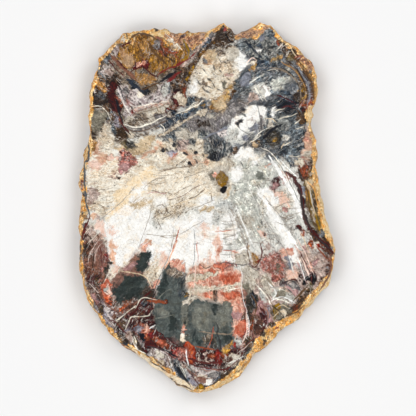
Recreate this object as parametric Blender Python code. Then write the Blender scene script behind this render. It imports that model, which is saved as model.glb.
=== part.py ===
"""Petrified wood slice: one slab cut across a fossil log, polished on top, with its rough rind left on.

The slice lies on its sawn underside, +Z up, with +Y towards the flat end and -Y towards the point.
The origin is in the middle of the underside's bounding box.
"""

import math

import bmesh
import bpy
import numpy as np
from mathutils import Vector, noise

MM = 0.001

# Driving dimensions, in millimetres.
LENGTH = 372.0
THICKNESS = 24.0
OUTLINE_LENGTH = 372.0  # the length that the outline below is drawn at
OUTLINE_CENTRE = (206.8, 207.4)

# The rough wall: how many points go round it, and its levels from the underside up.
POINTS_ROUND = 336
CURVE_STEPS = 8  # the smooth outline has this many steps between two of its drawn points
NORMAL_REACH = 3  # points to each side that a wall's direction is taken over
BASE_INSET = 2.4  # the underside is this much smaller than the widest line
FACE_ROUNDING = 1.1  # the polished face rolls over this far in from its edge
SHARP_EDGE = 38.0  # degrees
# Each level: height as a share of the thickness, share of the base inset, share of the rind's width,
# share of the face's rounding, how rough it is.
LEVELS = (
    (0.00, 1.00, 0.00, 0.0, 0.35),
    (0.07, 0.45, 0.00, 0.0, 0.70),
    (0.24, 0.15, 0.00, 0.0, 1.00),
    (0.46, 0.00, 0.00, 0.0, 0.45),
    (0.63, 0.00, 0.10, 0.0, 0.55),
    (0.78, 0.00, 0.36, 0.0, 0.80),
    (0.90, 0.00, 0.72, 0.0, 0.60),
    (0.97, 0.00, 1.00, 0.0, 0.12),
    (1.00, 0.00, 1.00, 1.0, 0.00),
)

# The bark's relief, in millimetres: size of each feature along the wall, how much taller than wide
# it is, and its height. The ledges are where the middle levels wander up and down.
LUMPS = (26.0, 1.0, 2.4)
FLUTES = (9.0, 4.0, 2.8)
NODULES = (5.0, 1.2, 1.4)
LEDGE_SIZE = 17.0
LEDGE_SHIFT = 1.3
LEDGE_TURN = 5.0  # how unlike the ledges of the lowest and the highest level are
LEDGES_UP_TO = 0.95  # as a share of the thickness
BARK_SINK = 0.4  # the bark lies this far inside the drawn line on average

# The widest outline seen from above, clockwise from the top left, x to the right and y down, in
# millimetres. The third number is the width of rind seen between it and the polished face.
OUTLINE = (
    (98, 62, 1.2), (98, 57.5, 2), (101, 54.5, 3), (106, 50.5, 3), (110, 46, 3), (114, 41.5, 3.5),
    (118.5, 37, 6), (120.5, 33, 8.5), (124, 31, 11), (129, 31.5, 12), (133, 30.3, 8),
    (138, 29.2, 5.5), (144, 28.5, 6), (149.5, 28, 10), (154.5, 26.2, 10.5), (159.5, 28.8, 7),
    (164.5, 27.5, 10), (168.5, 30.2, 12), (173, 32.5, 14), (177.5, 33.3, 15), (181, 33, 6),
    (184.5, 31.5, 8), (187.5, 29, 16), (190.5, 31, 20), (195, 31.8, 16), (200, 31, 10),
    (206, 30.5, 5.5), (212, 29, 3), (217, 26.5, 2), (221, 24, 1.4), (224, 22, 1.2),
    (227, 25, 1.2), (231, 28.8, 1.4), (234, 32, 4.5), (237, 33, 5.5), (241, 31, 7),
    (246, 28.2, 10), (251, 26.5, 12.5), (256, 24.3, 11.5), (259.5, 21.6, 12), (264, 22.6, 9),
    (268, 24, 5), (271, 23.8, 3), (274.5, 26.8, 2), (278, 30.8, 2), (281.5, 35.5, 2),
    (285.5, 39.8, 2.5), (291, 43, 3), (298, 46.3, 4), (302, 51, 5), (305.5, 55.5, 6),
    (309.5, 58, 10), (313, 61.5, 12), (314.8, 67, 6), (315, 72, 2), (316, 79, 1.5),
    (317.2, 86, 1.3), (317.6, 93, 1.3), (316.8, 100, 1.5), (315.6, 106, 2.5), (313.4, 110, 6),
    (314, 114.5, 7.5), (312.6, 119.5, 4.5), (312.5, 125, 3), (314.2, 131, 3), (316, 137, 4),
    (317, 145, 4.5), (317, 155, 4.5), (316.8, 165, 3.5), (318, 175, 4), (319.5, 184, 5.5),
    (321, 190, 7), (322.6, 196, 6.5), (324, 203, 6), (325.6, 211, 6), (327.6, 219, 6),
    (329.6, 227, 5.5), (331.6, 235, 5.5), (334, 241.5, 3.5), (336, 248, 1.8), (336, 255, 2),
    (335, 263, 2), (334, 271, 2.5), (332.5, 277, 4), (330, 283, 6), (326, 288.5, 7),
    (321.5, 293.5, 6.5), (318, 298, 7), (314, 303, 7), (308.5, 307.5, 5.5), (304, 312, 5),
    (300.5, 317, 7), (294, 323, 8.5), (287, 327.5, 9.5), (281, 332.5, 10), (276, 338, 11.5),
    (270, 344.5, 12), (264, 350, 11), (257.5, 353.8, 7), (252.8, 357.5, 4), (250.5, 361.8, 4.5),
    (248, 366.5, 7.5), (244.5, 371.5, 8), (239.5, 376.5, 8), (233.5, 381, 7.5), (226.5, 384.8, 5.5),
    (219, 387.8, 5), (212, 390.5, 4.5), (205, 392.8, 3), (199, 393.4, 1.6), (193, 393.2, 3),
    (188, 391.8, 6), (183, 389.6, 8), (178.5, 386.8, 9), (173.5, 382.3, 8), (168, 378.3, 7),
    (162, 374, 7), (156, 369.8, 7), (149.5, 365.2, 8), (142.5, 360.5, 6.5), (135.5, 355.5, 5.5),
    (128.5, 350.5, 4), (122, 346, 3), (116, 340.7, 2.6), (111, 335.5, 3.5), (107, 330, 3),
    (102.5, 324, 2.5), (98.3, 318, 2), (94.5, 312, 2), (91, 306.3, 2), (88, 300.5, 2.2),
    (85.8, 294.5, 2.5), (83.3, 288, 2), (81.5, 281, 2), (80, 273, 2.2), (79, 265, 2.6),
    (78.5, 257, 3), (79, 248, 2.5), (79, 238, 2.3), (78.6, 228, 3), (78.6, 220, 5),
    (79.8, 212, 8.5), (80.4, 204, 5), (81.5, 196, 3.6), (79.5, 189.5, 5.5), (77.6, 184, 7.2),
    (79, 178, 5.7), (80.8, 171.5, 4), (81.8, 165, 4), (83, 160, 4.5), (81.8, 154.5, 7.2),
    (84.3, 148.5, 5.7), (87, 142.5, 4.5), (88.4, 136, 2), (88.6, 128, 1.6), (88.2, 119, 1.6),
    (89.5, 111, 1.6), (90.6, 104, 1.4), (89.7, 95, 1.4), (91, 88, 1.4), (92.2, 81, 1.4),
    (94.5, 75.5, 1.6), (96.4, 69, 1.6),
)


def closed_spline(points, steps):
    """Points on a smooth closed curve through the given ones, steps to each stretch."""
    p = np.array(points, float)
    before, after, beyond = np.roll(p, 1, 0), np.roll(p, -1, 0), np.roll(p, -2, 0)
    stretches = []
    for t in np.arange(steps) / steps:
        stretches.append(
            0.5 * (
                2 * p
                + (after - before) * t
                + (2 * before - 5 * p + 4 * after - beyond) * t**2
                + (3 * p - before - 3 * after + beyond) * t**3
            )
        )
    return np.stack(stretches, 1).reshape(-1, p.shape[1])


def evenly_spaced(curve, count):
    """count rows of a closed curve, the same distance apart in x and y."""
    closed = np.vstack([curve, curve[:1]])
    run = np.concatenate([[0], np.cumsum(np.hypot(*np.diff(closed[:, :2], axis=0).T))])
    wanted = np.linspace(0, run[-1], count, endpoint=False)
    return np.stack([np.interp(wanted, run, column) for column in closed.T], 1)


def outward(ring):
    """The wall's direction at each point of a ring that runs anticlockwise."""
    along = np.roll(ring, -NORMAL_REACH, 0) - np.roll(ring, NORMAL_REACH, 0)
    across = np.stack([along[:, 1], -along[:, 0]], 1)
    return across / np.linalg.norm(across, axis=1, keepdims=True)


def relief(x, y, z, feature):
    """The height of one kind of bark feature at a place on the wall."""
    size, stretch, height = feature
    return height * noise.noise(Vector((x / size, y / size, z / (size * stretch))))


def widest_line():
    """The widest line in millimetres in the part's own frame, anticlockwise, and the rind's width."""
    scale = LENGTH / OUTLINE_LENGTH
    curve = evenly_spaced(closed_spline(OUTLINE, CURVE_STEPS), POINTS_ROUND)[::-1]
    x = (curve[:, 0] - OUTLINE_CENTRE[0]) * scale
    y = (OUTLINE_CENTRE[1] - curve[:, 1]) * scale
    return np.stack([x, y], 1), curve[:, 2] * scale


def wall_ring(line, rind, facing, level):
    """The points of one level of the wall."""
    height, base, rind_share, rounding, rough = level
    inset = base * BASE_INSET + rind_share * rind + rounding * FACE_ROUNDING
    ring = []
    for (x, y), way, inward in zip(line, facing, inset):
        z = height * THICKNESS
        if 0 < height < LEDGES_UP_TO:
            place = Vector((x / LEDGE_SIZE, y / LEDGE_SIZE, LEDGE_TURN * height))
            z += LEDGE_SHIFT * noise.noise(place)
        bumps = sum(relief(x, y, z, feature) for feature in (LUMPS, FLUTES, NODULES))
        out = rough * (bumps - BARK_SINK) - inward
        ring.append(Vector((x + way[0] * out, y + way[1] * out, z)) * MM)
    return ring


def slice_mesh():
    """The slab: a wall lofted through its levels, closed by the polished face and the underside."""
    line, rind = widest_line()
    facing = outward(line)
    shape = bmesh.new()
    rings = [
        [shape.verts.new(point) for point in wall_ring(line, rind, facing, level)]
        for level in LEVELS
    ]
    for lower, upper in zip(rings, rings[1:]):
        for i in range(POINTS_ROUND):
            j = (i + 1) % POINTS_ROUND
            shape.faces.new((lower[i], lower[j], upper[j], upper[i]))
    caps = [shape.faces.new(rings[-1]), shape.faces.new(rings[0][::-1])]
    bmesh.ops.triangulate(shape, faces=caps, quad_method="BEAUTY", ngon_method="BEAUTY")
    mesh = bpy.data.meshes.new("petrified_wood_slice")
    shape.to_mesh(mesh)
    shape.free()
    mesh.shade_smooth()
    mesh.set_sharp_from_angle(angle=math.radians(SHARP_EDGE))
    return mesh


def stone_material():
    """Polished agatised wood, as one mean colour."""
    material = bpy.data.materials.new("petrified_wood")
    material.use_nodes = True
    surface = material.node_tree.nodes["Principled BSDF"]
    surface.inputs["Base Color"].default_value = (0.50, 0.42, 0.36, 1)
    surface.inputs["Roughness"].default_value = 0.22
    surface.inputs["Metallic"].default_value = 0.0
    return material


def main():
    for old in list(bpy.data.objects):
        bpy.data.objects.remove(old)
    collection = bpy.data.collections.new("petrified wood slice")
    bpy.context.scene.collection.children.link(collection)
    stone = bpy.data.objects.new("petrified_wood_slice", slice_mesh())
    stone.data.materials.append(stone_material())
    collection.objects.link(stone)


main()
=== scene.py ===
import math
import bpy
import numpy as np
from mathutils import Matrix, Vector, noise
from mathutils.geometry import delaunay_2d_cdt


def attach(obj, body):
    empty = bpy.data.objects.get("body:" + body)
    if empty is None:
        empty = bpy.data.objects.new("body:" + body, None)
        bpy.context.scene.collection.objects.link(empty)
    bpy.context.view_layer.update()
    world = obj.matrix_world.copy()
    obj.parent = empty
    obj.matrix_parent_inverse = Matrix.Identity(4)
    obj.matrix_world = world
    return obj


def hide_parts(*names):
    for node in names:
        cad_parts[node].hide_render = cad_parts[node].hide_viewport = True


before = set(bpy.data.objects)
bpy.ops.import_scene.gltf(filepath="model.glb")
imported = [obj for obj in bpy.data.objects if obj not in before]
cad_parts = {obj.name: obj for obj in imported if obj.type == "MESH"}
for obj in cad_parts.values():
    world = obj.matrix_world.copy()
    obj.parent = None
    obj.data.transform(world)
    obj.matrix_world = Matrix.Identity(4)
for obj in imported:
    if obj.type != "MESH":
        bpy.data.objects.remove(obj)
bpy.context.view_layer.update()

mm = 0.001

# The slab, in millimetres. Places on its face are x to the right and y down from the picture's top
# left corner, where one pixel is one millimetre on the face.
slab = {
    "thickness": 24.0,
    "centre": (206.8, 207.4),
    "pointsRound": 1000,
    "faceSpacing": 1.2,
    "baseSpacing": 2.6,
    "wallHeights": (0, .02, .05, .09, .14, .19, .24, .30, .36, .42, .48, .54, .60, .66, .72, .78, .83,
                    .88, .92, .95, .97, .985, .995, 1),
    "normalReach": 9,
    "baseInset": 2.4,
    "rounding": 1.1,
    "barkSink": 0.4,
    "curveSteps": 8,
    "rollFrom": 0.97,
    "ledgesUpTo": 0.95,
    "fillStep": 2,       # every second point of a ring bounds its filling
    "fillMargin": 0.7,
    "lumps": (26.0, 1.0, 2.4),     # size along the wall, how much taller than wide, height
    "flutes": (9.0, 4.0, 2.8),
    "nodules": (5.0, 1.2, 1.4),
    "ledgeSize": 17.0,
    "ledgeShift": 1.3,
    "ledgeTurn": 5.0,
    "ledgeRise": 6,
    "barkGrain": ((0, .1, .2, .9, .97), (0, .1, 1, 1, 0)),     # heights, and how grainy it is there
    "hollowSlope": 1.6,
    "topFrom": 0.999,
    "sharpAngle": 50,    # degrees
}

# Height, share of the base inset, share of the rind's width, how rough the bark is.
wallProfile = (
    (0.00, 1.00, 0.00, 0.35),
    (0.07, 0.45, 0.00, 0.70),
    (0.24, 0.15, 0.00, 1.00),
    (0.46, 0.00, 0.00, 0.45),
    (0.63, 0.00, 0.10, 0.55),
    (0.78, 0.00, 0.36, 0.80),
    (0.90, 0.00, 0.72, 0.60),
    (0.97, 0.00, 1.00, 0.12),
    (1.00, 0.00, 1.00, 0.00),
)

# The widest outline seen from above, clockwise from the top left, x to the right and y down, in
# millimetres. The third number is the width of rind seen between it and the polished face.
outline = (
    (98, 62, 1.2), (98, 57.5, 2), (101, 54.5, 3), (106, 50.5, 3), (110, 46, 3), (114, 41.5, 3.5),
    (118.5, 37, 6), (120.5, 33, 8.5), (124, 31, 11), (129, 31.5, 12), (133, 30.3, 8),
    (138, 29.2, 5.5), (144, 28.5, 6), (149.5, 28, 10), (154.5, 26.2, 10.5), (159.5, 28.8, 7),
    (164.5, 27.5, 10), (168.5, 30.2, 12), (173, 32.5, 14), (177.5, 33.3, 15), (181, 33, 6),
    (184.5, 31.5, 8), (187.5, 29, 16), (190.5, 31, 20), (195, 31.8, 16), (200, 31, 10),
    (206, 30.5, 5.5), (212, 29, 3), (217, 26.5, 2), (221, 24, 1.4), (224, 22, 1.2),
    (227, 25, 1.2), (231, 28.8, 1.4), (234, 32, 4.5), (237, 33, 5.5), (241, 31, 7),
    (246, 28.2, 10), (251, 26.5, 12.5), (256, 24.3, 11.5), (259.5, 21.6, 12), (264, 22.6, 9),
    (268, 24, 5), (271, 23.8, 3), (274.5, 26.8, 2), (278, 30.8, 2), (281.5, 35.5, 2),
    (285.5, 39.8, 2.5), (291, 43, 3), (298, 46.3, 4), (302, 51, 5), (305.5, 55.5, 6),
    (309.5, 58, 10), (313, 61.5, 12), (314.8, 67, 6), (315, 72, 2), (316, 79, 1.5),
    (317.2, 86, 1.3), (317.6, 93, 1.3), (316.8, 100, 1.5), (315.6, 106, 2.5), (313.4, 110, 6),
    (314, 114.5, 7.5), (312.6, 119.5, 4.5), (312.5, 125, 3), (314.2, 131, 3), (316, 137, 4),
    (317, 145, 4.5), (317, 155, 4.5), (316.8, 165, 3.5), (318, 175, 4), (319.5, 184, 5.5),
    (321, 190, 7), (322.6, 196, 6.5), (324, 203, 6), (325.6, 211, 6), (327.6, 219, 6),
    (329.6, 227, 5.5), (331.6, 235, 5.5), (334, 241.5, 3.5), (336, 248, 1.8), (336, 255, 2),
    (335, 263, 2), (334, 271, 2.5), (332.5, 277, 4), (330, 283, 6), (326, 288.5, 7),
    (321.5, 293.5, 6.5), (318, 298, 7), (314, 303, 7), (308.5, 307.5, 5.5), (304, 312, 5),
    (300.5, 317, 7), (294, 323, 8.5), (287, 327.5, 9.5), (281, 332.5, 10), (276, 338, 11.5),
    (270, 344.5, 12), (264, 350, 11), (257.5, 353.8, 7), (252.8, 357.5, 4), (250.5, 361.8, 4.5),
    (248, 366.5, 7.5), (244.5, 371.5, 8), (239.5, 376.5, 8), (233.5, 381, 7.5), (226.5, 384.8, 5.5),
    (219, 387.8, 5), (212, 390.5, 4.5), (205, 392.8, 3), (199, 393.4, 1.6), (193, 393.2, 3),
    (188, 391.8, 6), (183, 389.6, 8), (178.5, 386.8, 9), (173.5, 382.3, 8), (168, 378.3, 7),
    (162, 374, 7), (156, 369.8, 7), (149.5, 365.2, 8), (142.5, 360.5, 6.5), (135.5, 355.5, 5.5),
    (128.5, 350.5, 4), (122, 346, 3), (116, 340.7, 2.6), (111, 335.5, 3.5), (107, 330, 3),
    (102.5, 324, 2.5), (98.3, 318, 2), (94.5, 312, 2), (91, 306.3, 2), (88, 300.5, 2.2),
    (85.8, 294.5, 2.5), (83.3, 288, 2), (81.5, 281, 2), (80, 273, 2.2), (79, 265, 2.6),
    (78.5, 257, 3), (79, 248, 2.5), (79, 238, 2.3), (78.6, 228, 3), (78.6, 220, 5),
    (79.8, 212, 8.5), (80.4, 204, 5), (81.5, 196, 3.6), (79.5, 189.5, 5.5), (77.6, 184, 7.2),
    (79, 178, 5.7), (80.8, 171.5, 4), (81.8, 165, 4), (83, 160, 4.5), (81.8, 154.5, 7.2),
    (84.3, 148.5, 5.7), (87, 142.5, 4.5), (88.4, 136, 2), (88.6, 128, 1.6), (88.2, 119, 1.6),
    (89.5, 111, 1.6), (90.6, 104, 1.4), (89.7, 95, 1.4), (91, 88, 1.4), (92.2, 81, 1.4),
    (94.5, 75.5, 1.6), (96.4, 69, 1.6),
)


# What the stone is coloured with: main colour and second colour as a screen shows them, how much of
# the second there is, how far it runs in fibres and not in mottles, and how many dark specks.
minerals = {
    "snow": ((255, 254, 250), (249, 245, 236), .3, .6, .02),
    "ivory": ((252, 245, 229), (230, 213, 188), .42, .6, .15),
    "cream": ((230, 221, 202), (206, 188, 164), .45, .4, .3),
    "beige": ((222, 200, 166), (192, 166, 130), .45, .5, .2),
    "greige": ((216, 208, 193), (180, 170, 154), .45, .6, .2),
    "paleGrey": ((232, 230, 222), (186, 187, 181), .42, .6, .3),
    "greyGreen": ((184, 187, 177), (226, 225, 215), .5, .5, .25),
    "lilacWhite": ((226, 216, 211), (160, 145, 145), .45, .3, .55),
    "lavender": ((174, 169, 178), (128, 124, 138), .45, .3, .4),
    "blush": ((246, 216, 200), (238, 194, 174), .4, .6, .04),
    "blushGrey": ((212, 192, 180), (166, 142, 132), .5, .5, .35),
    "pinkTan": ((216, 178, 150), (198, 150, 126), .4, .6, .1),
    "mauve": ((188, 148, 144), (156, 112, 112), .4, .5, .1),
    "salmon": ((234, 180, 148), (246, 210, 184), .4, .7, .05),
    "coral": ((205, 132, 110), (232, 186, 164), .5, .4, .04),
    "brick": ((180, 84, 58), (202, 122, 96), .45, .4, .05),
    "jasper": ((166, 54, 22), (196, 100, 58), .35, .7, .1),
    "scarlet": ((150, 34, 20), (96, 22, 16), .4, .4, .1),
    "crimson": ((122, 36, 34), (74, 24, 28), .45, .3, .4),
    "oxblood": ((70, 20, 18), (40, 16, 20), .4, .4, 0),
    "maroon": ((86, 32, 30), (46, 22, 24), .5, .4, .3),
    "wineUmber": ((122, 80, 62), (74, 48, 40), .5, .8, .3),
    "rosewood": ((176, 112, 98), (138, 84, 78), .45, .4, .4),
    "honey": ((206, 172, 112), (160, 116, 62), .5, .4, .6),
    "shell": ((254, 236, 206), (246, 220, 180), .45, .3, .08),
    "fleckedCream": ((240, 231, 214), (204, 187, 162), .42, .3, .35),
    "mauveBrown": ((152, 112, 98), (112, 78, 68), .45, .8, .1),
    "rust": ((144, 70, 40), (96, 44, 28), .45, .5, .3),
    "umber": ((92, 64, 38), (54, 40, 28), .5, .6, .3),
    "darkUmber": ((58, 44, 34), (36, 30, 28), .4, .4, .1),
    "umberMottle": ((98, 74, 54), (42, 32, 28), .5, .2, .6),
    "amber": ((178, 128, 50), (92, 60, 24), .5, .9, .25),
    "oliveGold": ((150, 112, 22), (120, 86, 14), .4, .3, .3),
    "mustard": ((198, 150, 66), (168, 118, 42), .4, .4, .2),
    "gold": ((232, 162, 66), (252, 220, 160), .42, .4, .35),
    "paleGold": ((250, 222, 172), (230, 184, 114), .4, .3, .1),
    "peach": ((222, 172, 130), (140, 88, 58), .5, .3, .5),
    "ochre": ((176, 130, 70), (120, 84, 44), .45, .7, .2),
    "tan": ((192, 158, 122), (166, 130, 96), .4, .6, .1),
    "taupe": ((138, 122, 104), (88, 77, 68), .5, .5, .3),
    "warmGrey": ((148, 142, 138), (96, 92, 94), .5, .6, .3),
    "olive": ((108, 92, 56), (80, 68, 42), .45, .4, .1),
    "oliveGrey": ((132, 126, 110), (102, 96, 84), .45, .6, .1),
    "darkOlive": ((60, 54, 42), (42, 42, 44), .45, .3, .1),
    "slateGreen": ((46, 55, 53), (38, 46, 46), .4, .5, .02),
    "slateGrey": ((84, 91, 88), (68, 76, 75), .4, .5, .02),
    "slateLight": ((120, 121, 111), (102, 104, 98), .4, .5, .02),
    "steel": ((116, 119, 122), (74, 79, 86), .45, .2, .2),
    "steelMottle": ((142, 144, 140), (54, 60, 64), .5, .1, .4),
    "steelLilac": ((132, 135, 145), (104, 107, 118), .4, .4, .1),
    "slateBlue": ((70, 80, 88), (124, 131, 134), .42, .7, .3),
    "navy": ((34, 43, 56), (74, 88, 100), .45, .8, .3),
    "navyField": ((44, 53, 62), (96, 104, 108), .42, .6, .45),
    "ink": ((20, 23, 31), (48, 56, 66), .4, .5, .15),
    "black": ((12, 12, 16), (22, 24, 30), .3, .2, 0),
}

# How wide an edge fades and how far it wanders, in millimetres.
edges = {
    "hard": (0.35, 0.7),
    "torn": (.8, 2.2),
    "soft": (2.6, 2.6),
    "haze": (5, 3.5),
}

# Where each mineral lies, a layer at a time: the mineral, its edge if it isn't the layer's usual one,
# and its outlines. A number before the outlines makes bands of that width along them. Outlines are
# x, y, x, y and so on, in the drawing's millimetres. An outline of four numbers is a small round
# marking: the x and y of its middle, its width and its height.
# The soft ground: the broad tones of the face.
ground = (
    ("taupe", (88, 62, 118, 36, 150, 28, 202, 30, 204, 58, 186, 80, 180, 108, 166, 124, 132, 136, 112, 128,
     105, 102, 88, 100)),
    ("cream", (196, 50, 236, 42, 240, 72, 230, 98, 204, 100, 192, 84)),
    ("steel", (234, 40, 272, 26, 318, 70, 320, 100, 308, 116, 306, 150, 298, 166, 262, 150, 206, 158,
     200, 148, 160, 142, 168, 118, 200, 98, 232, 98, 242, 74)),
    ("ivory", (88, 150, 170, 164, 150, 200, 118, 205, 96, 222, 88, 190), (88, 110, 112, 108, 116, 150,
     104, 200, 88, 205), (146, 163, 240, 163, 236, 190, 212, 206, 176, 212, 150, 205)),
    ("paleGrey", (150, 206, 180, 212, 215, 204, 240, 190, 262, 190, 266, 245, 206, 226, 150, 238),
     (232, 160, 276, 160, 312, 246, 322, 254, 300, 274, 262, 250, 240, 220)),
    ("snow", (110, 200, 150, 206, 150, 235, 245, 222, 248, 262, 190, 262, 150, 300, 112, 278, 104, 240)),
    ("blushGrey", (262, 252, 336, 250, 334, 276, 308, 305, 262, 332, 244, 300, 242, 266)),
    ("salmon", (186, 262, 244, 264, 246, 345, 230, 300, 186, 302)),
    ("maroon", (128, 300, 190, 340, 250, 345, 238, 368, 200, 372, 150, 352, 116, 326)),
    ("wineUmber", (80, 222, 106, 238, 108, 285, 128, 322, 110, 325, 84, 290)),
    ("lavender", (86, 292, 124, 320, 135, 345, 190, 380, 226, 372, 214, 392, 190, 394, 108, 336)),
    ("pinkTan", (300, 128, 318, 128, 318, 176, 304, 172)),
    ("umberMottle", (244, 340, 322, 286, 342, 290, 228, 396, 200, 402, 192, 386, 240, 358), (88, 62,
     100, 58, 118, 90, 112, 130, 90, 140), (304, 158, 320, 150, 338, 262, 326, 258, 301, 200)),
    ("mauveBrown", (110, 266, 128, 252, 148, 256, 156, 286, 156, 312, 128, 312, 106, 290)),
    ("slateGrey", (158, 288, 164, 266, 184, 266, 188, 298, 240, 304, 240, 346, 200, 352, 160, 336)),
    ("mauveBrown", (248, 298, 262, 296, 276, 318, 262, 345, 246, 352)),
    ("paleGrey", (250, 148, 300, 170, 304, 190, 290, 190, 250, 165)),
    ("rosewood", (241, 300, 249, 300, 251, 345, 239, 350)),
    ("cream", (126, 140, 170, 137, 238, 160, 236, 172, 150, 170)),
    ("fleckedCream", (152, 206, 164, 198, 184, 198, 186, 210, 176, 220, 158, 224)),
    ("snow", (158, 222, 204, 214, 208, 228, 168, 240)),
)

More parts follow.
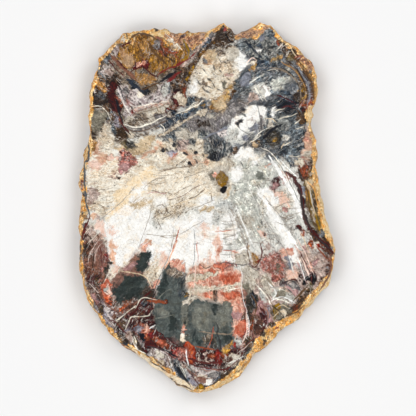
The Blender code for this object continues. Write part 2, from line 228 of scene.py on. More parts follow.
# Over it the folded bands, the pale rays, the slate blocks and the larger patches.
firstCoat = (
    ("amber", "soft", (114, 58, 118, 47, 141, 34, 154, 40, 160, 37, 178, 50, 184, 41, 188, 57, 158, 76,
     141, 67, 127, 71)),
    ("umberMottle", (91, 82, 97, 77, 118, 74, 122, 84, 114, 92, 112, 108, 92, 106, 89, 95)),
    ("oliveGrey", "soft", (88, 109, 104, 110, 110, 118, 90, 140)),
    ("lilacWhite", "soft", (116, 88, 120, 84, 132, 90, 138, 87, 143, 94, 156, 92, 166, 77, 172, 78,
     171, 104, 134, 113, 130, 120, 122, 116, 125, 108)),
    ("greige", (146, 107, 172, 103, 176, 108, 170, 117, 128, 137, 114, 124)),
    ("umber", "soft", 7, (214, 42, 193, 68, 184, 88, 183, 100)),
    ("fleckedCream", (200, 58, 208, 50, 226, 43, 233, 46, 236, 66, 241, 72, 224, 93, 214, 100, 190, 96,
     188, 84)),
    ("darkUmber", (204, 49, 224, 20, 236, 33, 235, 41, 217, 43)),
    ("steelMottle", (234, 43, 272, 30, 282, 54, 282, 62, 274, 65, 253, 62, 243, 50, 234, 48)),
    ("umberMottle", (272, 28, 301, 54, 304, 62, 285, 62)),
    ("slateBlue", (235, 78, 246, 70, 266, 68, 292, 73, 301, 80, 300, 92, 270, 95, 262, 100, 248, 89,
     238, 91, 233, 87)),
    ("umberMottle", "soft", (296, 72, 314, 71, 318, 98, 314, 107, 304, 110, 296, 104)),
    ("navyField", (262, 106, 272, 99, 298, 95, 305, 112, 306, 134, 300, 164, 293, 168, 276, 151, 268, 153,
     257, 141, 268, 112)),
    ("warmGrey", "soft", (194, 112, 206, 119, 234, 100, 244, 98, 252, 103, 240, 117, 218, 132, 206, 133,
     184, 120)),
    ("paleGrey", "soft", (222, 132, 248, 106, 258, 105, 266, 110, 268, 118, 264, 127, 242, 145, 232, 145)),
    ("navyField", (186, 98, 192, 95, 206, 99, 208, 116, 200, 116, 186, 106)),
    ("steelMottle", (158, 134, 178, 126, 190, 126, 210, 134, 212, 142, 206, 147, 194, 144, 182, 146,
     162, 140)),
    ("pinkTan", "soft", (90, 151, 101, 139, 104, 146, 99, 154, 92, 156)),
    ("ivory", "soft", (86, 166, 94, 164, 98, 176, 94, 192, 88, 188)),
    ("beige", "soft", (108, 148, 118, 136, 130, 146, 150, 134, 160, 136, 138, 158)),
    ("rosewood", "soft", (119, 150, 125, 149, 136, 157, 138, 165, 124, 174, 118, 170)),
    ("blushGrey", "haze", (116, 176, 12, 7)),
    ("pinkTan", "soft", (139, 159, 160, 140, 163, 144, 144, 161), (160, 159, 174, 148, 208, 158, 209, 163,
     200, 165, 182, 158, 174, 164)),
    ("ivory", "haze", (118, 176, 148, 168, 150, 182, 136, 198, 122, 198, 114, 188), (150, 262, 158, 254,
     168, 258, 153, 290), (112, 262, 134, 252, 111, 284, 108, 276)),
    ("shell", "haze", (150, 166, 160, 172, 124, 226, 108, 228, 106, 214, 132, 178)),
    ("greige", "soft", (205, 181, 207, 172, 222, 164, 229, 167, 232, 176, 227, 196)),
    ("greyGreen", "haze", (226, 164, 242, 160, 270, 166, 270, 186, 260, 188, 256, 200, 266, 236, 256, 244,
     230, 190)),
    ("blush", "soft", (260, 188, 288, 194, 292, 206, 280, 206, 268, 200)),
    ("snow", "soft", (262, 186, 272, 192, 282, 206, 276, 210, 264, 200), (199, 214, 214, 208, 215, 262,
     200, 263, 190, 258), (221, 218, 230, 212, 236, 218, 248, 254, 247, 263, 222, 263)),
    ("olive", (300, 178, 306, 175, 319, 194, 330, 238, 320, 238, 312, 228)),
    ("rust", "soft", (304, 171, 12, 18)),
    ("wineUmber", "haze", (88, 220, 112, 254, 100, 294, 92, 292, 82, 276, 80, 246)),
    ("slateGreen", "soft", (131, 268, 140, 253, 148, 253, 152, 258, 147, 275), (113, 278, 130, 273,
     149, 278, 148, 296, 119, 308, 114, 300)),
    ("slateGrey", (169, 260, 173, 268, 184, 270, 180, 326, 168, 342, 153, 328, 154, 298), (188, 298,
     194, 297, 204, 302, 214, 302, 214, 348, 207, 350, 200, 346, 189, 332), (219, 303, 232, 304, 233, 338,
     220, 348, 217, 336)),
    ("slateLight", (180, 304, 188, 302, 188, 330, 182, 330)),
    ("coral", "soft", (187, 268, 196, 266, 206, 270, 210, 264, 240, 266, 246, 334, 240, 340, 233, 336,
     231, 306, 214, 296, 200, 294, 188, 286)),
    ("greige", "soft", (242, 266, 249, 264, 256, 268, 258, 292, 250, 292, 244, 298), (256, 270, 270, 276,
     274, 290, 268, 300)),
    ("paleGrey", "soft", (256, 286, 264, 290, 268, 302, 262, 304)),
    ("darkOlive", (244, 300, 248, 292, 254, 289, 261, 306, 254, 310, 250, 318, 246, 316)),
    ("mauve", "soft", (258, 308, 266, 306, 272, 312, 272, 324, 266, 328)),
    ("wineUmber", (248, 318, 256, 314, 268, 328, 266, 336, 250, 330)),
    ("rosewood", "soft", (261, 258, 276, 251, 283, 256, 285, 273, 268, 274, 260, 268)),
    ("greyGreen", (270, 292, 278, 288, 298, 296, 296, 302, 274, 300)),
    ("umber", "soft", (294, 304, 306, 288, 312, 288, 298, 312, 293, 312)),
    ("oliveGrey", (281, 311, 21, 18)),
    ("greige", (233, 360, 21, 16)),
    ("maroon", (140, 300, 150, 298, 154, 306, 154, 318, 148, 322, 134, 314)),
    ("rust", (118, 310, 129, 300, 133, 300, 125, 312, 120, 314), (133, 324, 140, 322, 148, 326, 158, 338,
     176, 350, 170, 352, 136, 336)),
    ("brick", (99, 292, 105, 279, 109, 280, 111, 288, 108, 296, 112, 302, 106, 302)),
    ("oxblood", (138, 344, 144, 346, 150, 352, 148, 358)),
    ("jasper", (184, 342, 189, 341, 197, 350, 194, 366, 187, 365)),
    ("ivory", (184, 337, 8, 11)),
    ("maroon", (206, 356, 22, 18)),
    ("scarlet", (219, 357, 10, 15)),
    ("lilacWhite", (150, 348, 164, 350, 170, 356, 170, 366, 166, 369, 153, 356)),
    ("blushGrey", (170, 358, 186, 366, 180, 368, 172, 364)),
    ("lilacWhite", "soft", (190, 368, 216, 370, 218, 378, 212, 388, 204, 388, 191, 376)),
    ("umberMottle", (112, 332, 124, 332, 134, 338, 142, 348, 146, 360, 116, 340)),
    ("lilacWhite", (102, 300, 118, 314, 126, 326, 124, 332, 114, 330, 108, 322)),
    ("mauve", (89, 294, 94, 294, 99, 300, 101, 312)),
)

# Then the patches and bands within them.
secondCoat = (
    ("tan", "soft", (117, 53, 124, 48, 136, 60, 133, 68, 127, 69)),
    ("ochre", "soft", (136, 43, 143, 41, 149, 52, 147, 61, 141, 57)),
    ("amber", "soft", (164, 55, 172, 57, 187, 52, 183, 61, 162, 74, 153, 71)),
    ("warmGrey", (157, 44, 10, 13)),
    ("ochre", "soft", (132, 73, 139, 70, 153, 79, 158, 77, 155, 84, 140, 86)),
    ("lilacWhite", "soft", (116, 51, 8, 13)),
    ("steel", "soft", (103, 57, 108, 52, 112, 54, 106, 65)),
    ("ochre", (94, 82, 100, 79, 110, 92, 96, 90)),
    ("darkUmber", (100, 99, 20, 15)),
    ("darkUmber", "soft", (93, 135, 6, 9)),
    ("cream", "soft", (108, 116, 112, 148, 104, 150, 98, 146)),
    ("ivory", (140, 93, 9, 9)),
    ("mauve", "soft", (129, 103, 5, 7)),
    ("warmGrey", (126, 91, 7, 7)),
    ("oxblood", (109, 84, 115, 82, 121, 88, 115, 92, 124, 104, 121, 112, 113, 114, 107, 98)),
    ("slateBlue", (109, 112, 113, 108, 118, 138, 112, 134), (243, 46, 13, 9)),
    ("wineUmber", (113, 112, 118, 113, 128, 133, 120, 132, 114, 123)),
    ("maroon", (175, 86, 184, 97, 180, 111, 170, 100), (272, 28, 5, 6)),
    ("blush", "soft", 1.8, (131, 111, 146, 106, 171, 102)),
    ("cream", "soft", 2.6, (134, 119, 167, 110)),
    ("beige", "soft", 1.6, (140, 121, 152, 119, 170, 111)),
    ("taupe", "soft", 2.6, (118, 124, 130, 125, 160, 118, 171, 113)),
    ("taupe", "soft", 2, (120, 134, 132, 137, 146, 134, 158, 128)),
    ("blushGrey", "soft", 3.6, (212, 36, 203, 43, 195, 54, 181, 67)),
    ("darkUmber", 2.6, (202, 49, 187, 70)),
    ("amber", 2.4, (214, 43, 200, 56)),
    ("rust", 3.2, (184, 86, 185, 96, 181, 104)),
    ("umberMottle", (174, 66, 182, 64, 188, 76, 186, 90, 178, 88, 174, 78)),
    ("tan", "soft", (201, 60, 214, 46, 216, 54, 212, 64, 206, 66)),
    ("ivory", "soft", (207, 73, 11, 18)),
    ("fleckedCream", (220, 58, 11, 16)),
    ("honey", "haze", (209, 100, 221, 97, 231, 82, 235, 86, 217, 111, 212, 111)),
    ("umber", (228, 93, 233, 88, 240, 90, 231, 98)),
    ("crimson", (222, 29, 226, 26, 229, 28, 223, 33)),
    ("navy", (260, 46, 8, 7)),
    ("snow", (258, 51, 6, 4), (208, 382, 12, 8)),
    ("steelLilac", (263, 39, 5, 9)),
    ("olive", "soft", (291, 58, 13, 10)),
    ("rust", (276, 41, 280, 42, 284, 47, 280, 49)),
    ("steelLilac", "hard", (239, 80, 246, 72, 251, 72, 252, 80, 247, 87, 241, 86)),
    ("paleGrey", "soft", (261, 89, 20, 15)),
    ("blushGrey", "soft", (246, 97, 250, 92, 256, 93, 260, 105)),
    ("greyGreen", "soft", (270, 82, 276, 78, 293, 78, 299, 84, 292, 89, 273, 91)),
    ("steel", "soft", (269, 74, 13, 5)),
    ("navy", (276, 95, 284, 91, 296, 91, 300, 96, 298, 104, 278, 99)),
    ("slateBlue", (236, 91, 254, 90, 248, 94, 238, 96)),
    ("oliveGold", "soft", (302, 93, 10, 15)),
    ("darkUmber", (298, 72, 313, 72, 315, 82, 309, 81)),
    ("rust", "soft", (309, 84, 315, 100, 310, 106, 306, 104, 311, 96)),
    ("greyGreen", "soft", (286, 66, 297, 76, 294, 78, 288, 72)),
    ("ink", (280, 100, 292, 102, 298, 110, 290, 114, 280, 112, 274, 104)),
    ("darkOlive", "soft", (262, 134, 268, 126, 278, 128, 282, 136, 278, 146, 270, 150)),
    ("slateBlue", (294, 132, 19, 15), (293, 155, 16, 15)),
    ("oliveGold", "soft", (274, 139, 5, 5)),
    ("umber", (296, 108, 300, 112, 301, 120, 298, 118)),
    ("darkUmber", (302, 106, 307, 110, 305, 124, 301, 128), (186, 122, 206, 120, 210, 126, 200, 129,
     190, 127)),
    ("greige", "soft", (212, 117, 10, 6)),
    ("snow", "soft", (250, 106, 264, 107, 267, 114, 258, 123, 246, 116)),
    ("steelLilac", "soft", (255, 127, 12, 9), (245, 137, 8, 8)),
    ("navy", (160, 120, 192, 108, 196, 112, 162, 130, 156, 126)),
    ("oliveGold", (200, 105, 207, 103, 206, 107, 202, 108)),
    ("cream", 1.8, (184, 112, 204, 101)),
    ("slateBlue", (160, 134, 168, 130, 178, 132, 182, 138, 174, 141)),
    ("snow", "soft", (253, 114, 20, 17), (226, 131, 232, 120, 242, 114, 250, 120, 249, 128, 238, 140,
     228, 138)),
    ("navyField", "soft", (202, 143, 218, 137, 233, 147, 226, 152, 227, 158, 214, 161, 205, 156)),
    ("snow", "soft", (234, 155, 246, 145, 259, 154, 256, 159, 240, 159), (257, 164, 12, 11), (136, 192,
     147, 198, 151, 208, 138, 248, 121, 268, 114, 264, 103, 230, 106, 220), (206, 202, 20, 15)),
    ("umberMottle", (229, 150, 236, 146, 238, 150, 234, 158, 228, 158)),
    ("greige", "soft", (230, 167, 8, 16)),
    ("blush", "soft", (96, 164, 15, 13), (95, 219, 100, 221, 108, 238, 100, 237)),
    ("darkOlive", "haze", (112, 131, 134, 138, 135, 148, 130, 153)),
    ("greige", (111, 140, 117, 140, 122, 148, 116, 149)),
    ("maroon", "soft", (124, 152, 10, 5)),
    ("mauve", "soft", (124, 167, 11, 11), (202, 160, 13, 6)),
    ("blush", (113, 158, 10, 4)),
    ("cream", "soft", (134, 166, 156, 152, 158, 158, 138, 172)),
    ("lavender", "soft", (162, 156, 176, 147, 179, 151, 164, 160)),
    ("brick", "soft", (172, 155, 178, 151, 182, 153, 176, 158)),
    ("cream", "haze", (99, 209, 16, 16)),
    ("snow", "haze", (160, 202, 13, 11), (144, 178, 150, 184, 126, 214, 118, 212)),
    ("oliveGrey", (212, 176, 7, 12)),
    ("beige", "soft", (228, 186, 230, 190, 228, 198, 225, 198)),
    ("greyGreen", "haze", (252, 166, 262, 160, 272, 164, 262, 184, 252, 180)),
    ("greyGreen", (238, 198, 19, 20)),
    ("snow", "soft", (228, 168, 240, 164, 244, 176, 234, 186)),
    ("greige", "haze", (247, 220, 13, 15)),
    ("snow", "soft", (256, 191, 262, 189, 285, 225, 304, 270, 297, 272)),
    ("paleGrey", "soft", (272, 158, 277, 160, 297, 212, 293, 212), (223, 226, 234, 222, 240, 240, 238, 256,
     226, 254)),
    ("maroon", "soft", (273, 178, 278, 175, 281, 179, 276, 190, 271, 190)),
    ("rust", "soft", (303, 234, 6, 8)),
    ("mauve", "soft", (302, 244, 308, 246, 312, 252, 306, 252), (237, 316, 9, 11)),
    ("rust", (308, 240, 312, 240, 314, 248, 311, 248)),
    ("blushGrey", "haze", (267, 246, 9, 8)),
    ("coral", "soft", (287, 252, 13, 9), (294, 244, 299, 246, 302, 252, 298, 252)),
    ("ochre", (308, 194, 5, 14)),
    ("umber", (311, 194, 315, 200, 316, 212, 312, 208)),
    ("greige", (311, 206, 315, 214, 317, 224, 313, 220)),
    ("oliveGrey", (309, 216, 314, 226, 318, 232, 312, 230)),
    ("darkUmber", (294, 170, 300, 172, 305, 180, 303, 184)),
    ("umber", (306, 173, 4, 9)),
    ("ochre", "soft", (311, 175, 4, 12)),
    ("steelLilac", (299, 184, 302, 184, 305, 194, 302, 196)),
    ("brick", (300, 162, 304, 158, 307, 161, 301, 167)),
    ("pinkTan", (307, 142, 8, 15)),
    ("greige", "soft", (308, 154, 6, 11)),
    ("wineUmber", (322, 240, 330, 246, 334, 254, 330, 282, 324, 290, 318, 284, 325, 274, 328, 262)),
    ("blushGrey", (319, 260, 14, 15)),
    ("blush", "haze", (204, 231, 7, 17), (163, 260, 12, 13), (210, 259, 9, 9)),
    ("blush", "soft", (236, 253, 7, 9)),
    ("beige", "haze", (200, 208, 214, 204, 212, 209, 202, 211)),
    ("coral", (155, 280, 160, 276, 162, 280, 151, 292)),
    ("salmon", "soft", (108, 243, 118, 254, 110, 272, 111, 256)),
    ("blush", "soft", (116, 270, 7, 11)),
    ("mauveBrown", "haze", (95, 242, 101, 238, 110, 256, 103, 274, 92, 260)),
    ("darkUmber", "soft", (83, 242, 89, 240, 89, 262, 84, 258)),
    ("maroon", (86, 231, 8, 17)),
    ("maroon", "soft", (94, 280, 14, 16)),
    ("blushGrey", "soft", (97, 216, 5, 7)),
    ("mauve", "haze", (123, 268, 134, 262, 132, 269, 126, 271)),
    ("mauveBrown", "haze", (114, 278, 119, 274, 124, 274, 115, 288)),
    ("slateGrey", "soft", (144, 284, 7, 11)),
    ("slateGreen", "soft", (168, 270, 168, 290, 160, 300, 156, 292), (173, 324, 10, 16)),
    ("ink", "haze", (181, 272, 185, 276, 181, 298, 179, 296)),
    ("taupe", "soft", (176, 273, 15, 11)),
    ("coral", (178, 265, 17, 12)),
    ("slateLight", "soft", (162, 312, 11, 11), (191, 304, 202, 302, 212, 306, 213, 328, 202, 332,
     192, 326)),
    ("slateGreen", "soft", (190, 330, 198, 334, 201, 346, 194, 341)),
    ("taupe", "soft", (209, 341, 13, 17)),
    ("slateGreen", (215, 305, 5, 17), (186, 322, 4, 15)),
    ("slateGreen", "soft", (226, 337, 9, 9)),
    ("greige", (182, 300, 196, 295, 198, 298, 190, 304, 184, 304)),
    ("cream", (186, 276, 198, 272, 212, 274, 222, 270, 208, 279, 188, 284)),
    ("cream", "soft", (190, 288, 200, 284, 214, 288, 240, 280, 242, 288, 192, 294)),
    ("ivory", "soft", (189, 293, 4, 11)),
    ("paleGrey", (239, 343, 8, 6)),
    ("oliveGrey", "soft", (247, 288, 8, 16)),
    ("ink", (253, 298, 5, 15), (229, 368, 240, 364, 238, 369, 232, 371)),
    ("mauve", "soft", (261, 307, 12, 9)),
    ("steelLilac", "soft", (267, 314, 6, 14)),
    ("oxblood", (260, 308, 267, 322, 266, 328, 261, 320)),
    ("rust", (252, 324, 5, 11)),
    ("rosewood", (278, 276, 15, 11)),
    ("steelLilac", "soft", (284, 256, 290, 254, 295, 270, 289, 271)),
    ("warmGrey", (284, 283, 9, 9), (190, 370, 194, 372, 197, 380, 192, 378)),
    ("warmGrey", "soft", (294, 288, 14, 11)),
    ("paleGrey", "soft", (284, 296, 292, 296, 298, 302, 292, 304)),
    ("rust", (295, 309, 7, 9), (225, 356, 7, 10)),
    ("oliveGold", (277, 309, 6, 13), (200, 390, 9, 9)),
    ("cream", (283, 314, 6, 7)),
    ("darkOlive", (280, 320, 7, 6)),
    ("slateGrey", (250, 344, 256, 338, 260, 340, 250, 355, 246, 355)),
    ("maroon", (237, 351, 250, 342, 251, 346, 238, 356)),
    ("ink", "soft", (145, 305, 6, 7)),
    ("wineUmber", (134, 312, 142, 310, 148, 314, 132, 324), (228, 361, 10, 7)),
    ("blush", (108, 290, 6, 10)),
    ("jasper", (99, 294, 104, 294, 112, 305, 106, 302)),
    ("coral", "soft", (141, 330, 149, 324, 149, 331, 144, 334)),
    ("steelLilac", "soft", (139, 329, 5, 7)),
    ("ink", (143, 338, 8, 9)),
    ("oxblood", (150, 345, 14, 10)),
    ("brick", (154, 338, 160, 340, 168, 346, 162, 347)),
    ("crimson", (166, 344, 178, 344, 180, 352, 174, 352)),
    ("coral", (184, 329, 5, 8)),
    ("blushGrey", (200, 358, 3, 11), (205, 354, 207, 352, 208, 363, 206, 363), (210, 356, 212, 353,
     213, 364, 211, 364)),
    ("greige", (154, 350, 160, 350, 164, 358, 158, 358)),
    ("umberMottle", (222, 373, 11, 13)),
    ("black", (113, 331, 118, 331, 124, 334, 122, 335), (121, 341, 124, 341, 128, 346, 124, 347)),
    ("paleGold", (133, 338, 136, 336, 138, 342, 135, 344)),
    ("blushGrey", (124, 334, 130, 332, 132, 342, 128, 342)),
    ("maroon", (111, 316, 114, 311, 124, 320, 120, 322), (99, 298, 102, 302, 104, 308, 100, 308)),
    ("darkOlive", (102, 311, 6, 10)),
)

# Then the smaller marks.
thirdCoat = (
    ("umber", (142, 39, 20, 8)),
    ("rust", (157, 50, 164, 45, 180, 51, 176, 55, 168, 52, 163, 57), (116, 98, 119, 96, 124, 104,
     120, 108)),
    ("lilacWhite", "soft", (108, 71, 12, 12)),
    ("crimson", (132, 70, 138, 60, 142, 63, 145, 57, 150, 70, 141, 66)),
    ("darkUmber", (102, 79, 112, 78, 119, 73, 121, 78, 104, 84)),
    ("amber", "soft", (147, 45, 17, 20)),
    ("darkUmber", "soft", (163, 78, 178, 70, 176, 88, 170, 92), (149, 295, 15, 16)),
    ("ochre", "soft", (142, 40, 16, 15)),
    ("steel", "soft", (97, 91, 101, 90, 104, 94, 100, 98)),
    ("ink", (135, 85, 8, 10), (146, 91, 6, 6), (172, 112, 8, 6), (139, 114, 5, 6)),
    ("paleGrey", (159, 90, 168, 80, 171, 84, 166, 97, 160, 96)),
    ("lavender", (112, 116, 116, 113, 119, 122, 118, 130)),
    ("slateBlue", (167, 88, 173, 82, 172, 88, 169, 93)),
    ("maroon", (166, 109, 170, 108, 168, 115, 165, 117)),
    ("blushGrey", (109, 72, 10, 9)),
    ("umberMottle", (112, 117, 6, 9)),
    ("crimson", (133, 112, 5, 5), (151, 335, 9, 8)),
    ("cream", (131, 134, 6, 6)),
    ("warmGrey", "soft", 6, (122, 126, 134, 129, 148, 128, 162, 121)),
    ("umber", "soft", (121, 135, 15, 14)),
    ("ochre", (90, 145, 11, 13)),
    ("taupe", (141, 118, 11, 11), (133, 124, 9, 8)),
    ("warmGrey", (160, 118, 11, 12)),
    ("wineUmber", (174, 107, 8, 8), (115, 318, 8, 6)),
    ("oliveGold", 3, (194, 66, 187, 80)),
    ("cream", (181, 98, 12, 12), (299, 163, 8, 9)),
    ("steel", (205, 62, 5, 4)),
    ("taupe", (205, 84, 5, 6)),
    ("mauve", "soft", (228, 75, 9, 4)),
    ("snow", "soft", (194, 87, 9, 17), (231, 53, 242, 50, 250, 64, 239, 73)),
    ("greige", (231, 54, 16, 16)),
    ("warmGrey", "soft", (192, 125, 15, 13)),
    ("greige", "soft", (182, 134, 14, 12)),
    ("cream", "soft", (171, 145, 14, 12)),
    ("blushGrey", "soft", (183, 145, 13, 12), (92, 194, 14, 18)),
    ("fleckedCream", "soft", (200, 146, 13, 13)),
    ("ivory", "soft", (183, 165, 16, 15), (162, 158, 15, 15)),
    ("beige", "soft", (211, 54, 14, 14), (221, 105, 13, 15)),
    ("cream", "soft", (202, 157, 14, 12), (151, 274, 12, 15)),
    ("ivory", "soft", (181, 158, 14, 12)),
    ("taupe", (197, 102, 6, 7), (220, 53, 9, 7), (278, 267, 6, 6)),
    ("oliveGrey", (224, 84, 5, 8)),
    ("navy", (200, 52, 207, 38, 214, 35, 212, 42)),
    ("umber", "soft", (206, 44, 214, 40, 232, 43, 230, 48, 210, 50), (302, 300, 12, 11)),
    ("honey", (280, 53, 281, 57, 276, 61, 268, 62), (246, 70, 264, 60, 261, 66, 252, 71)),
    ("ivory", (250, 64, 253, 61, 258, 61, 256, 64)),
    ("navy", (257, 62, 264, 58, 277, 65, 275, 70, 262, 73, 256, 71)),
    ("slateBlue", "soft", (271, 35, 14, 14)),
    ("slateBlue", (262, 78, 11, 11)),
    ("snow", (266, 91, 8, 11)),
    ("paleGrey", 1.8, (250, 82, 262, 74)),
    ("steel", "soft", (292, 86, 17, 16)),
    ("oxblood", (299, 110, 312, 102, 315, 104, 303, 114)),
    ("darkUmber", (298, 97, 10, 13)),
    ("umber", (302, 120, 9, 12)),
    ("paleGrey", "soft", (286, 138, 7, 6), (232, 135, 12, 14)),
    ("greige", "soft", (272, 124, 9, 11)),
    ("snow", "soft", (274, 113, 5, 10)),
    ("beige", (255, 144, 6, 6)),
    ("oliveGold", (258, 141, 4, 4), (184, 293, 187, 291, 189, 295, 186, 298)),
    ("steelMottle", "soft", (281, 123, 19, 18)),
    ("steel", "soft", (272, 155, 14, 14)),
    ("warmGrey", (261, 123, 5, 15)),
    ("cream", 2.2, (160, 136, 206, 109)),
    ("cream", (199, 112, 204, 108, 208, 109, 206, 114, 201, 115)),
    ("greige", (194, 136, 10, 8)),
    ("ink", (215, 156, 16, 9), (216, 144, 10, 8)),
    ("steel", (230, 158, 4, 5), (322, 234, 6, 8), (327, 264, 330, 268, 328, 274, 325, 270)),
    ("steelMottle", "soft", (229, 149, 8, 10), (207, 149, 7, 10)),
    ("olive", "soft", (120, 142, 126, 144, 130, 150, 121, 147), (310, 285, 6, 8)),
    ("beige", "haze", (124, 202, 151, 197, 152, 209, 147, 204, 137, 210)),
    ("blush", "haze", (113, 230, 8, 11)),
    ("blushGrey", "soft", (92, 234, 11, 16)),
    ("pinkTan", "soft", (102, 158, 13, 13), (92, 216, 6, 9), (148, 244, 8, 8)),
    ("rosewood", "soft", (103, 268, 8, 10)),
    ("salmon", "soft", (112, 245, 7, 10)),
    ("oliveGold", "hard", (216, 183, 217, 176, 221, 171, 229, 180, 226, 185, 221, 187)),
    ("coral", (215, 175, 5, 3), (263, 168, 268, 163, 272, 163, 270, 167), (307, 139, 5, 5)),
    ("greyGreen", "soft", (241, 239, 16, 16)),
    ("blush", "soft", (262, 233, 10, 6), (215, 233, 219, 226, 222, 262, 216, 264)),
    ("snow", "soft", (278, 162, 283, 164, 298, 194, 303, 218, 298, 215)),
    ("mauve", "soft", (272, 187, 278, 182, 277, 188, 273, 190), (284, 180, 5, 6)),
    ("mauve", (285, 209, 8, 5), (316, 262, 6, 7)),
    ("maroon", (299, 228, 6, 5)),
    ("greyGreen", "soft", (261, 175, 13, 14)),
    ("slateLight", (260, 176, 8, 9)),
    ("lilacWhite", (222, 133, 10, 8)),
    ("snow", (252, 123, 9, 9)),
    ("ink", (302, 196, 305, 200, 306, 208, 303, 206), (218, 380, 6, 7)),
    ("scarlet", (315, 243, 326, 247, 325, 250, 318, 248)),
    ("rust", (322, 243, 7, 5)),
    ("coral", (311, 267, 4, 9), (219, 249, 5, 13)),
    ("maroon", "soft", (298, 262, 303, 268, 305, 280, 300, 280)),
    ("beige", "soft", (311, 185, 12, 15)),
    ("umberMottle", "soft", (305, 228, 312, 226, 318, 232, 319, 241, 312, 242)),
    ("coral", "soft", (140, 251, 143, 243, 153, 242, 145, 252)),
    ("ochre", "soft", (247, 244, 261, 262, 255, 265, 246, 251)),
    ("snow", "soft", (232, 234, 16, 17)),
    ("rosewood", "soft", (214, 262, 236, 260, 237, 269, 215, 270), (182, 354, 15, 14)),
    ("greige", "soft", (241, 258, 18, 16)),
    ("shell", "soft", (122, 198, 19, 19)),
    ("crimson", "haze", (106, 256, 5, 9)),
    ("darkOlive", (103, 273, 106, 265, 112, 261, 104, 281)),
    ("umber", (97, 282, 6, 11)),
    ("wineUmber", "soft", (131, 305, 13, 15)),
    ("slateLight", "soft", (221, 320, 18, 17)),
    ("brick", (221, 266, 18, 6), (212, 271, 6, 5)),
    ("brick", "soft", (229, 278, 20, 12)),
    ("coral", (206, 282, 12, 8), (203, 266, 6, 6)),
    ("brick", (219, 292, 239, 292, 241, 297, 224, 298), (204, 294, 209, 293, 211, 297, 206, 298), (221, 267,
     9, 7)),
    ("coral", "soft", (238, 306, 10, 13)),
    ("scarlet", "hard", (233, 341, 238, 343, 236, 349, 233, 346), (233, 331, 246, 317, 247, 330, 244, 342)),
    ("umber", "haze", (215, 294, 5, 8)),
    ("slateLight", (226, 309, 15, 17)),
    ("wineUmber", (244, 318, 6, 9)),
    ("mauveBrown", (243, 294, 7, 9)),
    ("mauve", "soft", (295, 292, 6, 7)),
    ("oliveGrey", "soft", (281, 295, 12, 13)),
    ("blush", "soft", (291, 275, 14, 13)),
    ("umberMottle", "soft", (249, 342, 12, 16), (120, 325, 14, 15)),
    ("mustard", (223, 350, 231, 339, 234, 344, 227, 353)),
    ("paleGrey", (104, 289, 107, 286, 109, 290, 106, 293)),
    ("darkOlive", "soft", (211, 344, 13, 14)),
    ("rust", (212, 356, 7, 9)),
    ("warmGrey", "soft", (200, 366, 222, 368, 220, 376, 212, 380, 204, 378)),
    ("mauveBrown", (201, 378, 12, 11)),
)

